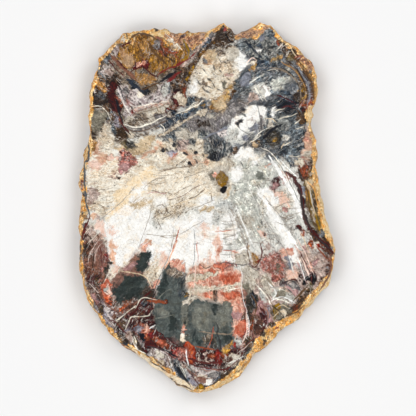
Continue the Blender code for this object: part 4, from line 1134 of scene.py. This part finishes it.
# The paint at each place: the ground, the coats over it and how grainy it is there. Outlines are
# measured from the unsettled places, bands from the calm ones.
def paintPlaces(places, calm, ragged, rindDepth):
    count = len(places)
    main, second = (screenColour(colour) for colour in minerals["paleGrey"][:2])
    groundMain, groundSecond = np.tile(main, (count, 1)), np.tile(second, (count, 1))
    grain = np.tile(paint["grain"], (count, 1))
    coats = [
        {"main": groundMain.copy(), "second": groundSecond.copy(),
         "edge": np.tile((-paint["reach"], *paint["unpainted"]), (count, 1))}
        for _ in range(paint["coats"])
    ]
    for layer, mineral, edge, width, drawn in paintOrder():
        main, second, share, fibre, specks = minerals[mineral]
        main, second = screenColour(main), screenColour(second)
        fade, wander = edges[edge]
        if drawn is None:
            here = np.flatnonzero(rindDepth > -paint["reach"])
            depth = rindDepth[here]
        else:
            here, depth = markingDepth(drawn, width, places, calm)
        torn = depth + wander * ragged[here, layer % 3]
        cover = np.clip(0.5 + torn / (2 * max(fade, paint["sharpest"])), 0, 1)[:, None]
        cover = cover * cover * (3 - 2 * cover)
        grain[here] += (np.array((fibre, share, specks)) - grain[here]) * cover
        if layer == 0:
            groundMain[here] += (main - groundMain[here]) * cover
            groundSecond[here] += (second - groundSecond[here]) * cover
            continue
        coat = coats[layer - 1]
        wins = (depth > coat["edge"][here, 0]) | (torn > 0) & (coat["edge"][here, 0] > 0)
        winners = here[wins]
        coat["main"][winners] = main
        coat["second"][winners] = second
        coat["edge"][winners, 1:] = fade, wander
        coat["edge"][here, 0] = np.maximum(coat["edge"][here, 0], depth)
    return groundMain, groundSecond, coats, grain


# The nearest line of a group at each place: its colour, and how far to its side, how far away and
# how wide it is there.
def drawLines(places, rows):
    count = len(places)
    edge = np.tile((paint["reach"], paint["reach"], 0.0), (count, 1))
    colour = np.zeros((count, 3))
    strokes = [(mineral, width, points) for mineral, width, *many in rows for points in many]
    margin = paint["lineMargin"]
    for mineral, width, points in strokes:
        drawn = smoothCurve(np.reshape(points, (-1, 2)), paint["lineSteps"], False)
        here = np.all((places > drawn.min(0) - margin) & (places < drawn.max(0) + margin), 1)
        here = np.flatnonzero(here)
        near, left, share, _ = measureLine(places[here], drawn, False)
        toEnd = np.minimum(share, 1 - share)
        half = width / 2 * np.clip(paint["taper"] + paint["taperRise"] * toEnd, 0, 1)
        wins = near - half < edge[here, 1] - edge[here, 2]
        winners = here[wins]
        edge[winners] = np.stack([left, near, half], 1)[wins]
        colour[winners] = screenColour(minerals[mineral][0])
    return edge, colour


# Where the fibres run: coordinates across and along them, for the shader's noise.
def fibreFlow(places):
    away = places - np.array(paint["pith"])
    angle = np.arctan2(away[:, 1], away[:, 0])
    across = paint["rayCircle"] / paint["fibreWidth"]
    radius = np.hypot(*away.T)
    flow = np.stack([np.cos(angle) * across, np.sin(angle) * across, radius / paint["fibreLength"]], 1)
    for number, (degrees, area) in enumerate(flowAreas):
        inside = measureLine(places, rounded(area), True)[3]
        turn = math.radians(degrees)
        along = places @ np.array((math.cos(turn), -math.sin(turn)))
        over = places @ np.array((math.sin(turn), math.cos(turn)))
        apart = np.full(len(places), paint["areasApart"] * number)
        straight = np.stack([over / paint["fibreWidth"], along / paint["fibreLength"], apart], 1)
        flow[inside] = straight[inside]
    return flow


def addAttribute(mesh, name, kind, values, domain="POINT"):
    field = {"FLOAT_COLOR": "color", "FLOAT_VECTOR": "vector"}.get(kind, "value")
    if kind == "FLOAT_COLOR":
        values = np.column_stack([values, np.ones(len(values))])
    number = np.int32 if kind == "INT" else np.float32
    attribute = mesh.attributes.new(name, kind, domain)
    attribute.data.foreach_set(field, np.ascontiguousarray(values, number).ravel())


# The stone's figure. A noise has its width in millimetres, detail, roughness and swirl. A pair is
# where a change starts and ends. Colours are shares of white.
figure = {
    "driftNoise": (7.0, 6, .66, .5),      # how the coats' edges drift, but for the last coat
    "lastDriftNoise": (9.1, 6, .66, .5),
    "drift": 6.0,
    "fibreNoise": (4, .6),                # detail and roughness alone: its width comes with the flow
    "fibreEdge": 3.5,
    "coatFade": 0.6,
    "rimOut": 0.2,                        # the dark rim of a coat with a hard edge
    "rimRun": (.1, .9),
    "rimFades": (.7, 1.8),
    "rimWhere": (.4, .58),
    "rims": 0.75,
    "rim": (0.32, 0.22, 0.18, 1),
    "mottleNoise": (5.0, 7, .68, 1.0),
    "patternLevel": 0.6,
    "patternSpan": 0.2,
    "patternEdge": 0.035,
    "paleRun": (0, .9),
    "fineNoise": (2.0, 4, .7, 1.2),
    "fineShade": 8.4,
    "fineWhere": (.36, .6),
    "fibreShade": 4.0,
    "cloudNoise": (9.0, 6, .7, 1.5),
    "cloudShade": 7.0,
    "paleCalm": 0.84,                     # how much less pale stone varies than dark
    "livelyFrom": 0.5,
    "livelyMore": 0.55,
    "livelyRun": (0, .3),
    "stainNoise": (16.0, 6, .68, 1.0),
    "warmWhere": (.5, .66),
    "warm": 0.7,
    "warmStain": (1, 0.88, 0.745, 1),
    "coolWhere": (.52, .66),
    "cool": 0.6,
    "coolStain": (0.80, 0.84, 0.88, 1),
    "streakScale": 0.32,
    "windNoise": (9.0, 5, .6, 1.2),
    "hairWidths": (.016, .013, .018, .014, .012),
    "hairCore": 0.3,
    "hairLevels": (.5, .56),              # of the dark hairs and of the pale ones
    "hairWhere": (.42, .56),
    "darkHairs": 0.6,
    "paleHairs": 0.22,
    "paleHairRun": (0, .25),
    "paleHairMore": 2,
    "darkHair": (0.30, 0.24, 0.20, 1),
    "paleHair": (0.75, 0.70, 0.64, 1),
    "ringWidth": 3.3,
    "ringWander": 9.0,
    "ringRun": (.04, .11),
    "ringWhere": (.44, .5),
    "rings": 0.55,
    "ringShade": (0.62, 0.60, 0.58, 1),
    "speckNoise": (2.6, 2, .5),
    "speckLevels": (.70, .73),
    "speckMore": 0.18,
    "speckRun": (0, .2),
    "specks": 0.8,
    "speck": (0.03, 0.025, 0.025, 1),
    "wobbleNoise": (3.0, 3, .6),
    "wobble": 1.3,
    "brokenNoise": (5.0, 2, .5),
    "broken": (0.36, 0.56),
    "thinnest": 0.45,
    "lineShade": 0.35,
    "lineRun": (-.2, .3),
    "lineEnd": (1.0, 1.5),
    "lineStrength": {"seams": 0.95, "veins": 0.85, "cracks": 0.8},
    "stoneIor": 1.54,
}


# A socket of a node tree. A sum on wires adds the tree's Math nodes.
class Wire:
    def __init__(self, tree, socket=None):
        self.tree = tree
        self.socket = socket

    # A new node: its settings, then the values or wires of its sockets, by name or number.
    def node(self, kind, settings=None, values=None, output=0):
        added = self.tree.nodes.new(kind)
        for name, value in (settings or {}).items():
            setattr(added, name, value)
        for name, value in (values or {}).items():
            if isinstance(value, Wire):
                self.tree.links.new(value.socket, added.inputs[name])
            else:
                added.inputs[name].default_value = value
        return Wire(self.tree, added.outputs[output] if added.outputs else None)

    def other(self, output):
        return Wire(self.tree, self.socket.node.outputs[output])

    def maths(self, operation, *values):
        return self.node("ShaderNodeMath", {"operation": operation}, dict(enumerate(values)))

    def __add__(self, value):
        return self.maths("ADD", self, value)

    def __sub__(self, value):
        return self.maths("SUBTRACT", self, value)

    def __rsub__(self, value):
        return self.maths("SUBTRACT", value, self)

    def __mul__(self, value):
        return self.maths("MULTIPLY", self, value)

    def __truediv__(self, value):
        return self.maths("DIVIDE", self, value)

    def __rtruediv__(self, value):
        return self.maths("DIVIDE", value, self)

    def __abs__(self):
        return self.maths("ABSOLUTE", self)

    __radd__ = __add__
    __rmul__ = __mul__

    # From 0 where the wire is low to 1 where it is high, smoothly.
    def between(self, low, high):
        values = {"Value": self, "From Min": low, "From Max": high}
        return self.node("ShaderNodeMapRange", {"interpolation_type": "SMOOTHSTEP"}, values)

    def mix(self, one, two, blend="MIX"):
        settings = {"data_type": "RGBA", "blend_type": blend}
        return self.node("ShaderNodeMix", settings, {0: self, 6: one, 7: two}, 2)

    def attribute(self, name, output="Vector"):
        return self.node("ShaderNodeAttribute", {"attribute_name": name}, None, output)

    def parts(self):
        x = self.node("ShaderNodeSeparateXYZ", None, {0: self})
        return x, x.other(1), x.other(2)

    # Noise whose features are this many millimetres wide.
    def speckle(self, size, detail=4.0, rough=0.55, swirl=0.0, output="Fac"):
        values = {"Vector": self, "Scale": 1 / (size * mm), "Detail": detail, "Roughness": rough,
                  "Distortion": swirl}
        return self.node("ShaderNodeTexNoise", None, values, output)

    # A colour times another, as much as the wire says.
    def tint(self, colour, shade):
        return self.mix(colour, shade, "MULTIPLY")

    # A colour doubled for each step up of the wire and halved for each step down.
    def brighten(self, colour):
        gain = self.maths("POWER", 2, self)
        gain = self.node("ShaderNodeCombineXYZ", None, {0: gain, 1: gain, 2: gain})
        return self.node("ShaderNodeVectorMath", {"operation": "MULTIPLY"}, {0: colour, 1: gain})


# The painted stone, as it is under the polish, on the bark's rim and on the sawn side, with the
# cracks, the fibres and the mottles in it.
def stoneColour(start, place):
    drifts = place.speckle(*figure["driftNoise"], "Color").parts()
    drifts += (place.speckle(*figure["lastDriftNoise"]),)
    fibreShare, secondShare, busy = start.attribute("grain").parts()
    flow = start.attribute("flow")
    fibres = flow.speckle(1 / mm, *figure["fibreNoise"])
    streaks = flow.speckle(1 / (mm * figure["streakScale"]), *figure["fibreNoise"])
    main = start.attribute("groundMain", "Color")
    second = start.attribute("groundSecond", "Color")
    rims = 0
    for number in range(paint["coats"]):
        depth, fade, wander = start.attribute(f"coat{number}Edge").parts()
        here = depth + (drifts[number] - .5) * wander * figure["drift"]
        here = here + (fibres - .5) * fade * figure["fibreEdge"]
        cover = here.between(-figure["coatFade"] * fade, figure["coatFade"] * fade)
        main = cover.mix(main, start.attribute(f"coat{number}Main", "Color"))
        second = cover.mix(second, start.attribute(f"coat{number}Second", "Color"))
        rim = 1 - abs(here + figure["rimOut"]).between(*figure["rimRun"])
        rim = rim * (1 - fade.between(*figure["rimFades"]))
        rims = rim.maths("MAXIMUM", rim, rims * (1 - cover))
    mottle = place.speckle(*figure["mottleNoise"])
    pattern = fibres * fibreShare + mottle * (1 - fibreShare)
    level = figure["patternLevel"] - figure["patternSpan"] * secondShare
    mask = pattern.between(level - figure["patternEdge"], level + figure["patternEdge"])
    colour = mask.mix(main, second)
    # Light and dark along the fibres and in the mottles: much in dark stone, little in pale.
    pale = main.node("ShaderNodeRGBToBW", None, {0: main}).between(*figure["paleRun"])
    fine = place.speckle(*figure["fineNoise"])
    cloud = place.speckle(*figure["cloudNoise"])
    shade = (fibres - .5) * fibreShare * figure["fibreShade"]
    shade = shade + (fine - .5) * figure["fineShade"] * cloud.between(*figure["fineWhere"])
    shade = shade + (cloud - .5) * figure["cloudShade"]
    lively = figure["livelyFrom"] + busy.between(*figure["livelyRun"]) * figure["livelyMore"]
    colour = (shade * (1 - figure["paleCalm"] * pale) * lively).brighten(colour)
    stain = place.speckle(*figure["stainNoise"], "Color").parts()
    colour = (stain[0].between(*figure["warmWhere"]) * figure["warm"]).tint(colour, figure["warmStain"])
    colour = (stain[1].between(*figure["coolWhere"]) * figure["cool"]).tint(colour, figure["coolStain"])
    # Hairs along the fibres, and winding ones: dark in pale stone, pale in busy dark stone.
    wind = place.speckle(*figure["windNoise"], "Color").parts()
    hairs = zip((streaks, wind[0], wind[1], streaks, wind[2]), figure["hairWidths"], (0, 0, 0, 1, 1))
    for number, (hair, width, light) in enumerate(hairs):
        mask = 1 - abs(hair - figure["hairLevels"][light]).between(width * figure["hairCore"], width)
        mask = mask * stain[2 - number % 3].between(*figure["hairWhere"])
        if light:
            much = busy.between(*figure["paleHairRun"]) * figure["paleHairs"]
            much = much + busy * figure["paleHairMore"]
            colour = (mask * (1 - pale) * much).mix(colour, figure["paleHair"])
        else:
            colour = (mask * (figure["darkHairs"] * lively + busy)).tint(colour, figure["darkHair"])
    # Growth rings round the pith, seen as hairlines in the pale stone.
    x, y, _ = place.parts()
    x = x / mm - (paint["pith"][0] - slab["centre"][0])
    y = y / mm - (slab["centre"][1] - paint["pith"][1])
    ring = start.maths("SQRT", x * x + y * y) + (cloud - .5) * figure["ringWander"]
    ring = start.maths("FRACT", ring / figure["ringWidth"])
    mask = 1 - abs(ring - .5).between(*figure["ringRun"])
    mask = mask * pale * stain[1].between(*figure["ringWhere"])
    colour = (mask * figure["rings"]).tint(colour, figure["ringShade"])
    colour = (rims * stain[2].between(*figure["rimWhere"]) * figure["rims"]).tint(colour, figure["rim"])
    low, high = (level - figure["speckMore"] * busy for level in figure["speckLevels"])
    dark = place.speckle(*figure["speckNoise"]).between(low, high) * busy.between(*figure["speckRun"])
    colour = (dark * figure["specks"]).mix(colour, figure["speck"])
    # The drawn lines, broken and uneven. The cracks come last, and they are the grooves.
    wobble = (place.speckle(*figure["wobbleNoise"]) - .5) * figure["wobble"]
    broken = place.speckle(*figure["brokenNoise"]).between(*figure["broken"])
    (inner, outer), (nearEnd, farEnd) = figure["lineRun"], figure["lineEnd"]
    for name, strength in figure["lineStrength"].items():
        side, away, half = start.attribute(name + "Edge").parts()
        half = half * (figure["thinnest"] + (1 - figure["thinnest"]) * broken)
        mask = 1 - abs(side + wobble).between(half + inner, half + outer)
        grooves = mask * (1 - away.between(half + nearEnd, half + farEnd)) * strength
        drawn = start.attribute(name + "Colour", "Color")
        colour = grooves.mix(colour, (shade * figure["lineShade"]).brighten(drawn))
    return colour, grooves, fibres, mottle


def stoneMaterial(name, finish):
    material = bpy.data.materials.new(name)
    material.use_nodes = True
    tree = material.node_tree
    surface = tree.nodes["Principled BSDF"]
    start = Wire(tree)
    place = start.node("ShaderNodeTexCoord", output="Object")
    colour, rough, height, drop = finish(start, place, *stoneColour(start, place))
    tree.links.new(colour.socket, surface.inputs["Base Color"])
    if isinstance(rough, Wire):
        tree.links.new(rough.socket, surface.inputs["Roughness"])
    else:
        surface.inputs["Roughness"].default_value = rough
    surface.inputs["IOR"].default_value = figure["stoneIor"]
    values = {"Strength": 1.0, "Distance": drop * mm, "Height": height}
    bump = start.node("ShaderNodeBump", None, values, "Normal")
    tree.links.new(bump.socket, surface.inputs["Normal"])
    return material


polish = {
    "rough": 0.13,
    "grooveRough": 0.25,
    "mottleRough": 0.08,
    "relief": 0.05,         # millimetres, as for the bark and the saw
    "fibreRelief": 0.12,
}


# Polished: the cracks are a little duller and lie a hair's breadth low.
def polished(start, place, colour, grooves, fibres, mottle):
    rough = polish["rough"] + grooves * polish["grooveRough"] + (mottle - .5) * polish["mottleRough"]
    height = (fibres - .5) * polish["fibreRelief"] - grooves
    return colour, rough, height, polish["relief"]


crust = {
    "fluteStretch": 0.28,
    "fluteNoise": (3.4, 6, .62),
    "fluteRun": (.38, .6),
    "crumbNoise": (1.8, 5, .6),
    "crumbRun": (.5, .68),
    "crumbs": 0.7,
    "stainNoise": (16.0, 4, .6),
    "stainRun": (.5, .66),
    "stains": 0.75,
    # Painted shade in the bark's low places: over which heights of the lumps it fades in, and how much the
    # flutes move it.
    "hollowShadeRun": (-1.6, .3),
    "hollowShadeFlutes": 2,
    "dark": (0.15, 0.085, 0.042, 1),
    "ochre": (0.50, 0.31, 0.13, 1),
    "pale": (0.72, 0.58, 0.38, 1),
    "rust": (0.33, 0.13, 0.045, 1),
    # The colour of the painted shade in the bark's low places.
    "hollowShade": (0.055, 0.035, 0.024, 1),
    "rimWander": 9.0,
    "rimRun": (7.0, 15.0),  # where the crust gives way to the stone's colours, in millimetres up
    "rough": 0.8,
    "crumbRough": 0.3,
    "relief": 0.7,
    "fluteHeight": 0.7,
    "crumbHeight": 0.5,
}


# Bark: the stone's own colours near the polished face, ochre and brown crust further down, with painted
# shade where the wall's lumps sink.
def barky(start, place, colour, grooves, fibres, mottle):
    x, y, z = place.parts()
    tall = place.node("ShaderNodeCombineXYZ", None, {0: x, 1: y, 2: z * crust["fluteStretch"]})
    flute = tall.speckle(*crust["fluteNoise"])
    crumb = place.speckle(*crust["crumbNoise"])
    stain = place.speckle(*crust["stainNoise"])
    skin = flute.between(*crust["fluteRun"]).mix(crust["dark"], crust["ochre"])
    skin = (crumb.between(*crust["crumbRun"]) * crust["crumbs"]).mix(skin, crust["pale"])
    skin = (stain.between(*crust["stainRun"]) * crust["stains"]).mix(skin, crust["rust"])
    # Painted shade: the crust is darkened where the wall's lumps sink low.
    ridge = start.attribute("ridge", "Fac") + (flute - .5) * crust["hollowShadeFlutes"]
    skin = (1 - ridge.between(*crust["hollowShadeRun"])).mix(skin, crust["hollowShade"])
    upper = (z / mm + (stain - .5) * crust["rimWander"]).between(*crust["rimRun"])
    rough = crust["rough"] + (crumb - .5) * crust["crumbRough"]
    height = flute * crust["fluteHeight"] + crumb * crust["crumbHeight"]
    return upper.mix(skin, colour), rough, height, crust["relief"]


saw = {
    "centre": (0.21, -0.05),    # metres
    "pitch": 3.1,
    "arcDust": 0.03,
    "dustShare": 0.38,
    "dust": (0.62, 0.57, 0.51, 1),
    "rough": 0.72,
    "relief": 0.06,
    "arcHeight": 0.5,
}


# Sawn: the same figure, paler under saw dust, with the arcs of the saw.
def sawn(start, place, colour, grooves, fibres, mottle):
    x, y, _ = place.parts()
    x, y = x + saw["centre"][0], y + saw["centre"][1]
    run = start.maths("SQRT", x * x + y * y) * (math.tau / (saw["pitch"] * mm))
    arcs = start.maths("SINE", run)
    dusty = (saw["dustShare"] + arcs * saw["arcDust"]).mix(colour, saw["dust"])
    return dusty, saw["rough"], arcs * saw["arcHeight"] + mottle, saw["relief"]


# The relief's tree: small bumps on the bark, hollows in the face, and each zone's material.
relief = {
    "Bark height": 0.9,
    "Bark grain": 2.6,
    "Flute stretch": 0.4,
    "Hollow depth": 1.6,
}
barkNoise = {"Detail": 3.0, "Roughness": 0.5}

# Outlines of the hollows, on the face's places.
hollows = (
    ((303, 284), (305, 277), (310, 273), (315, 276), (318, 282), (314, 287), (309, 288)),
)


def reliefTree(materials):
    tree = bpy.data.node_groups.new("slab relief", "GeometryNodeTree")
    tree.interface.new_socket("Geometry", in_out="INPUT", socket_type="NodeSocketGeometry")
    for name in relief:
        tree.interface.new_socket(name, in_out="INPUT", socket_type="NodeSocketFloat")
    tree.interface.new_socket("Geometry", in_out="OUTPUT", socket_type="NodeSocketGeometry")
    start = Wire(tree)
    given = start.node("NodeGroupInput")
    barkHeight, barkGrain, stretch, hollowDepth = (given.other(name) for name in relief)

    def named(name, kind="FLOAT"):
        return start.node("GeometryNodeInputNamedAttribute", {"data_type": kind}, {"Name": name})

    x, y, z = start.node("GeometryNodeInputPosition").parts()
    tall = start.node("ShaderNodeCombineXYZ", None, {0: x, 1: y, 2: z * stretch})
    values = {"Vector": tall, "Scale": 1 / (barkGrain * mm)}
    bumps = start.node("ShaderNodeTexNoise", None, {**values, **barkNoise})
    out = (bumps - .5) * barkHeight * mm * named("bark")
    normal = start.node("GeometryNodeInputNormal")
    offset = start.node("ShaderNodeVectorMath", {"operation": "SCALE"}, {0: normal, "Scale": out})
    down = start.node("ShaderNodeCombineXYZ", None, {2: -1 * hollowDepth * mm * named("hollow")})
    both = start.node("ShaderNodeVectorMath", {"operation": "ADD"}, {0: offset, 1: down})
    shape = start.node("GeometryNodeSetPosition", None, {"Geometry": given, "Offset": both})
    shape = start.node("GeometryNodeRealizeInstances", None, {"Geometry": shape})
    zone = named("zone", "INT")
    for number, material in enumerate(materials):
        settings = {"data_type": "INT", "operation": "EQUAL"}
        here = start.node("FunctionNodeCompare", settings, {"A": zone, "B": number})
        values = {"Geometry": shape, "Selection": here, "Material": material}
        shape = start.node("GeometryNodeSetMaterial", None, values)
    start.node("NodeGroupOutput", None, {"Geometry": shape})
    return tree


# The plain mesh that a tree makes of an object's mesh.
def grown(piece, tree, inputs):
    modifier = piece.modifiers.new("relief", "NODES")
    modifier.node_group = tree
    for item in tree.interface.items_tree:
        if item.in_out == "INPUT" and item.name in inputs:
            modifier[item.identifier] = inputs[item.name]
    ready = piece.evaluated_get(bpy.context.evaluated_depsgraph_get())
    mesh = bpy.data.meshes.new_from_object(ready)
    piece.modifiers.remove(modifier)
    return mesh


# The paint, the lines and the fibres' flow, as attributes of the mesh.
def paintMesh(mesh, places):
    unrest = np.array([
        [noise.noise(Vector((x / size, y / size, paint["noisesApart"] * layer)))
         for layer, size in enumerate(paint["unrest"])]
        for x, y in places
    ])
    ragged, slow, quick = unrest[:, :3], unrest[:, 3:5], unrest[:, 5:7]
    top = (len(slab["wallHeights"]) - 1) * slab["pointsRound"]
    faceEdge = places[top:top + slab["pointsRound"]:slab["fillStep"]]
    near, _, _, onFace = measureLine(places, faceEdge, True)
    rindDepth = np.where(onFace, -near, near) - paint["rindStart"]
    calm = places + slow * paint["calmBend"]
    places = places + slow * paint["bend"] + quick * paint["crinkle"]
    groundMain, groundSecond, coats, grain = paintPlaces(places, calm, ragged, rindDepth)
    print("painted", len(paintOrder()), "markings")
    addAttribute(mesh, "groundMain", "FLOAT_COLOR", groundMain)
    addAttribute(mesh, "groundSecond", "FLOAT_COLOR", groundSecond)
    addAttribute(mesh, "grain", "FLOAT_VECTOR", grain)
    addAttribute(mesh, "flow", "FLOAT_VECTOR", fibreFlow(places))
    for number, coat in enumerate(coats):
        addAttribute(mesh, f"coat{number}Main", "FLOAT_COLOR", coat["main"])
        addAttribute(mesh, f"coat{number}Second", "FLOAT_COLOR", coat["second"])
        addAttribute(mesh, f"coat{number}Edge", "FLOAT_VECTOR", coat["edge"])
    for name, rows in lines.items():
        edge, colour = drawLines(calm, rows)
        addAttribute(mesh, name + "Edge", "FLOAT_VECTOR", edge)
        addAttribute(mesh, name + "Colour", "FLOAT_COLOR", colour)
    print("drew", sum(len(row) - 2 for rows in lines.values() for row in rows), "lines")
    return places


def hollowShare(places, onTop):
    share = np.zeros(len(places))
    for outlineHere in hollows:
        near, _, _, inside = measureLine(places, rounded(outlineHere), True)
        share = np.maximum(share, np.where(inside & onTop, np.clip(near / slab["hollowSlope"], 0, 1), 0))
    return share


def woodSlice():
    points, faces, zones, ridges = slabShape()
    print("slab:", len(points), "points,", sum(len(face) - 2 for face in faces), "triangles")
    mesh = bpy.data.meshes.new("wood_slice")
    mesh.from_pydata((points * mm).tolist(), [], [[int(i) for i in face] for face in faces])
    places = np.stack([points[:, 0] + slab["centre"][0], slab["centre"][1] - points[:, 1]], 1)
    unsettled = paintMesh(mesh, places)
    height = points[:, 2] / slab["thickness"]
    addAttribute(mesh, "zone", "INT", zones, "FACE")
    addAttribute(mesh, "ridge", "FLOAT", ridges)
    addAttribute(mesh, "bark", "FLOAT", np.interp(height, *slab["barkGrain"]))
    addAttribute(mesh, "hollow", "FLOAT", hollowShare(unsettled, height > slab["topFrom"]))
    maker = bpy.data.objects.new("maker", mesh)
    bpy.context.scene.collection.objects.link(maker)
    materials = (
        stoneMaterial("polished stone", polished),
        stoneMaterial("bark", barky),
        stoneMaterial("sawn stone", sawn),
    )
    print("materials made")
    finished = grown(maker, reliefTree(materials), relief)
    bpy.data.objects.remove(maker)
    finished.shade_smooth()
    finished.set_sharp_from_angle(angle=math.radians(slab["sharpAngle"]))
    piece = bpy.data.objects.new("wood_slice", finished)
    bpy.context.scene.collection.objects.link(piece)
    return piece


# The floor, the lights and the camera, in metres.
stage = {
    "floor": 6.0,
    "floorDrop": 0.0001,
    "floorShade": 0.9,
    "lightCount": 4,
    "lightRing": 1.0,
    "lightHeight": 1.15,
    "lightSize": 1.0,
    "lightPower": 7.0,
    "firstLight": 45,
    "worldShade": 0.22,
    "lens": 200,
    "sensor": 36,
    "photo": 416,          # the picture's side in millimetres on the face
    "aim": (1.2, -0.6),    # the picture's middle, in millimetres
}


def layStage():
    half = stage["floor"] / 2
    mesh = bpy.data.meshes.new("floor")
    corners = [(-half, -half), (half, -half), (half, half), (-half, half)]
    mesh.from_pydata([(x, y, -stage["floorDrop"]) for x, y in corners], [], [(0, 1, 2, 3)])
    floor = bpy.data.objects.new("floor", mesh)
    material = bpy.data.materials.new("floor")
    material.use_nodes = True
    surface = material.node_tree.nodes["Principled BSDF"]
    surface.inputs["Base Color"].default_value = (*[stage["floorShade"]] * 3, 1)
    surface.inputs["Roughness"].default_value = 1.0
    surface.inputs["Specular IOR Level"].default_value = 0.0
    mesh.materials.append(material)
    bpy.context.scene.collection.objects.link(floor)
    for number in range(stage["lightCount"]):
        angle = math.radians(stage["firstLight"] + 360 / stage["lightCount"] * number)
        light = bpy.data.lights.new(f"soft light {number + 1}", "AREA")
        light.shape = "DISK"
        light.size = stage["lightSize"]
        light.energy = stage["lightPower"]
        lamp = bpy.data.objects.new(light.name, light)
        lamp.location = (
            math.cos(angle) * stage["lightRing"],
            math.sin(angle) * stage["lightRing"],
            stage["lightHeight"],
        )
        lamp.rotation_euler = (-lamp.location).to_track_quat("-Z", "Y").to_euler()
        bpy.context.scene.collection.objects.link(lamp)
    world = bpy.data.worlds.new("pale room")
    world.use_nodes = True
    world.node_tree.nodes["Background"].inputs["Color"].default_value = (*[stage["worldShade"]] * 3, 1)
    bpy.context.scene.world = world
    camera = bpy.data.cameras.new("camera")
    camera.lens = stage["lens"]
    camera.sensor_width = stage["sensor"]
    away = stage["lens"] / stage["sensor"] * stage["photo"] + slab["thickness"]
    eye = bpy.data.objects.new("camera", camera)
    eye.location = (stage["aim"][0] * mm, stage["aim"][1] * mm, away * mm)
    bpy.context.scene.collection.objects.link(eye)
    bpy.context.scene.camera = eye
    bpy.context.scene.view_settings.view_transform = "Standard"
    print("floor, lights and camera set")


piece = woodSlice()
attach(piece, "root")
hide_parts("petrified_wood_slice")
layStage()
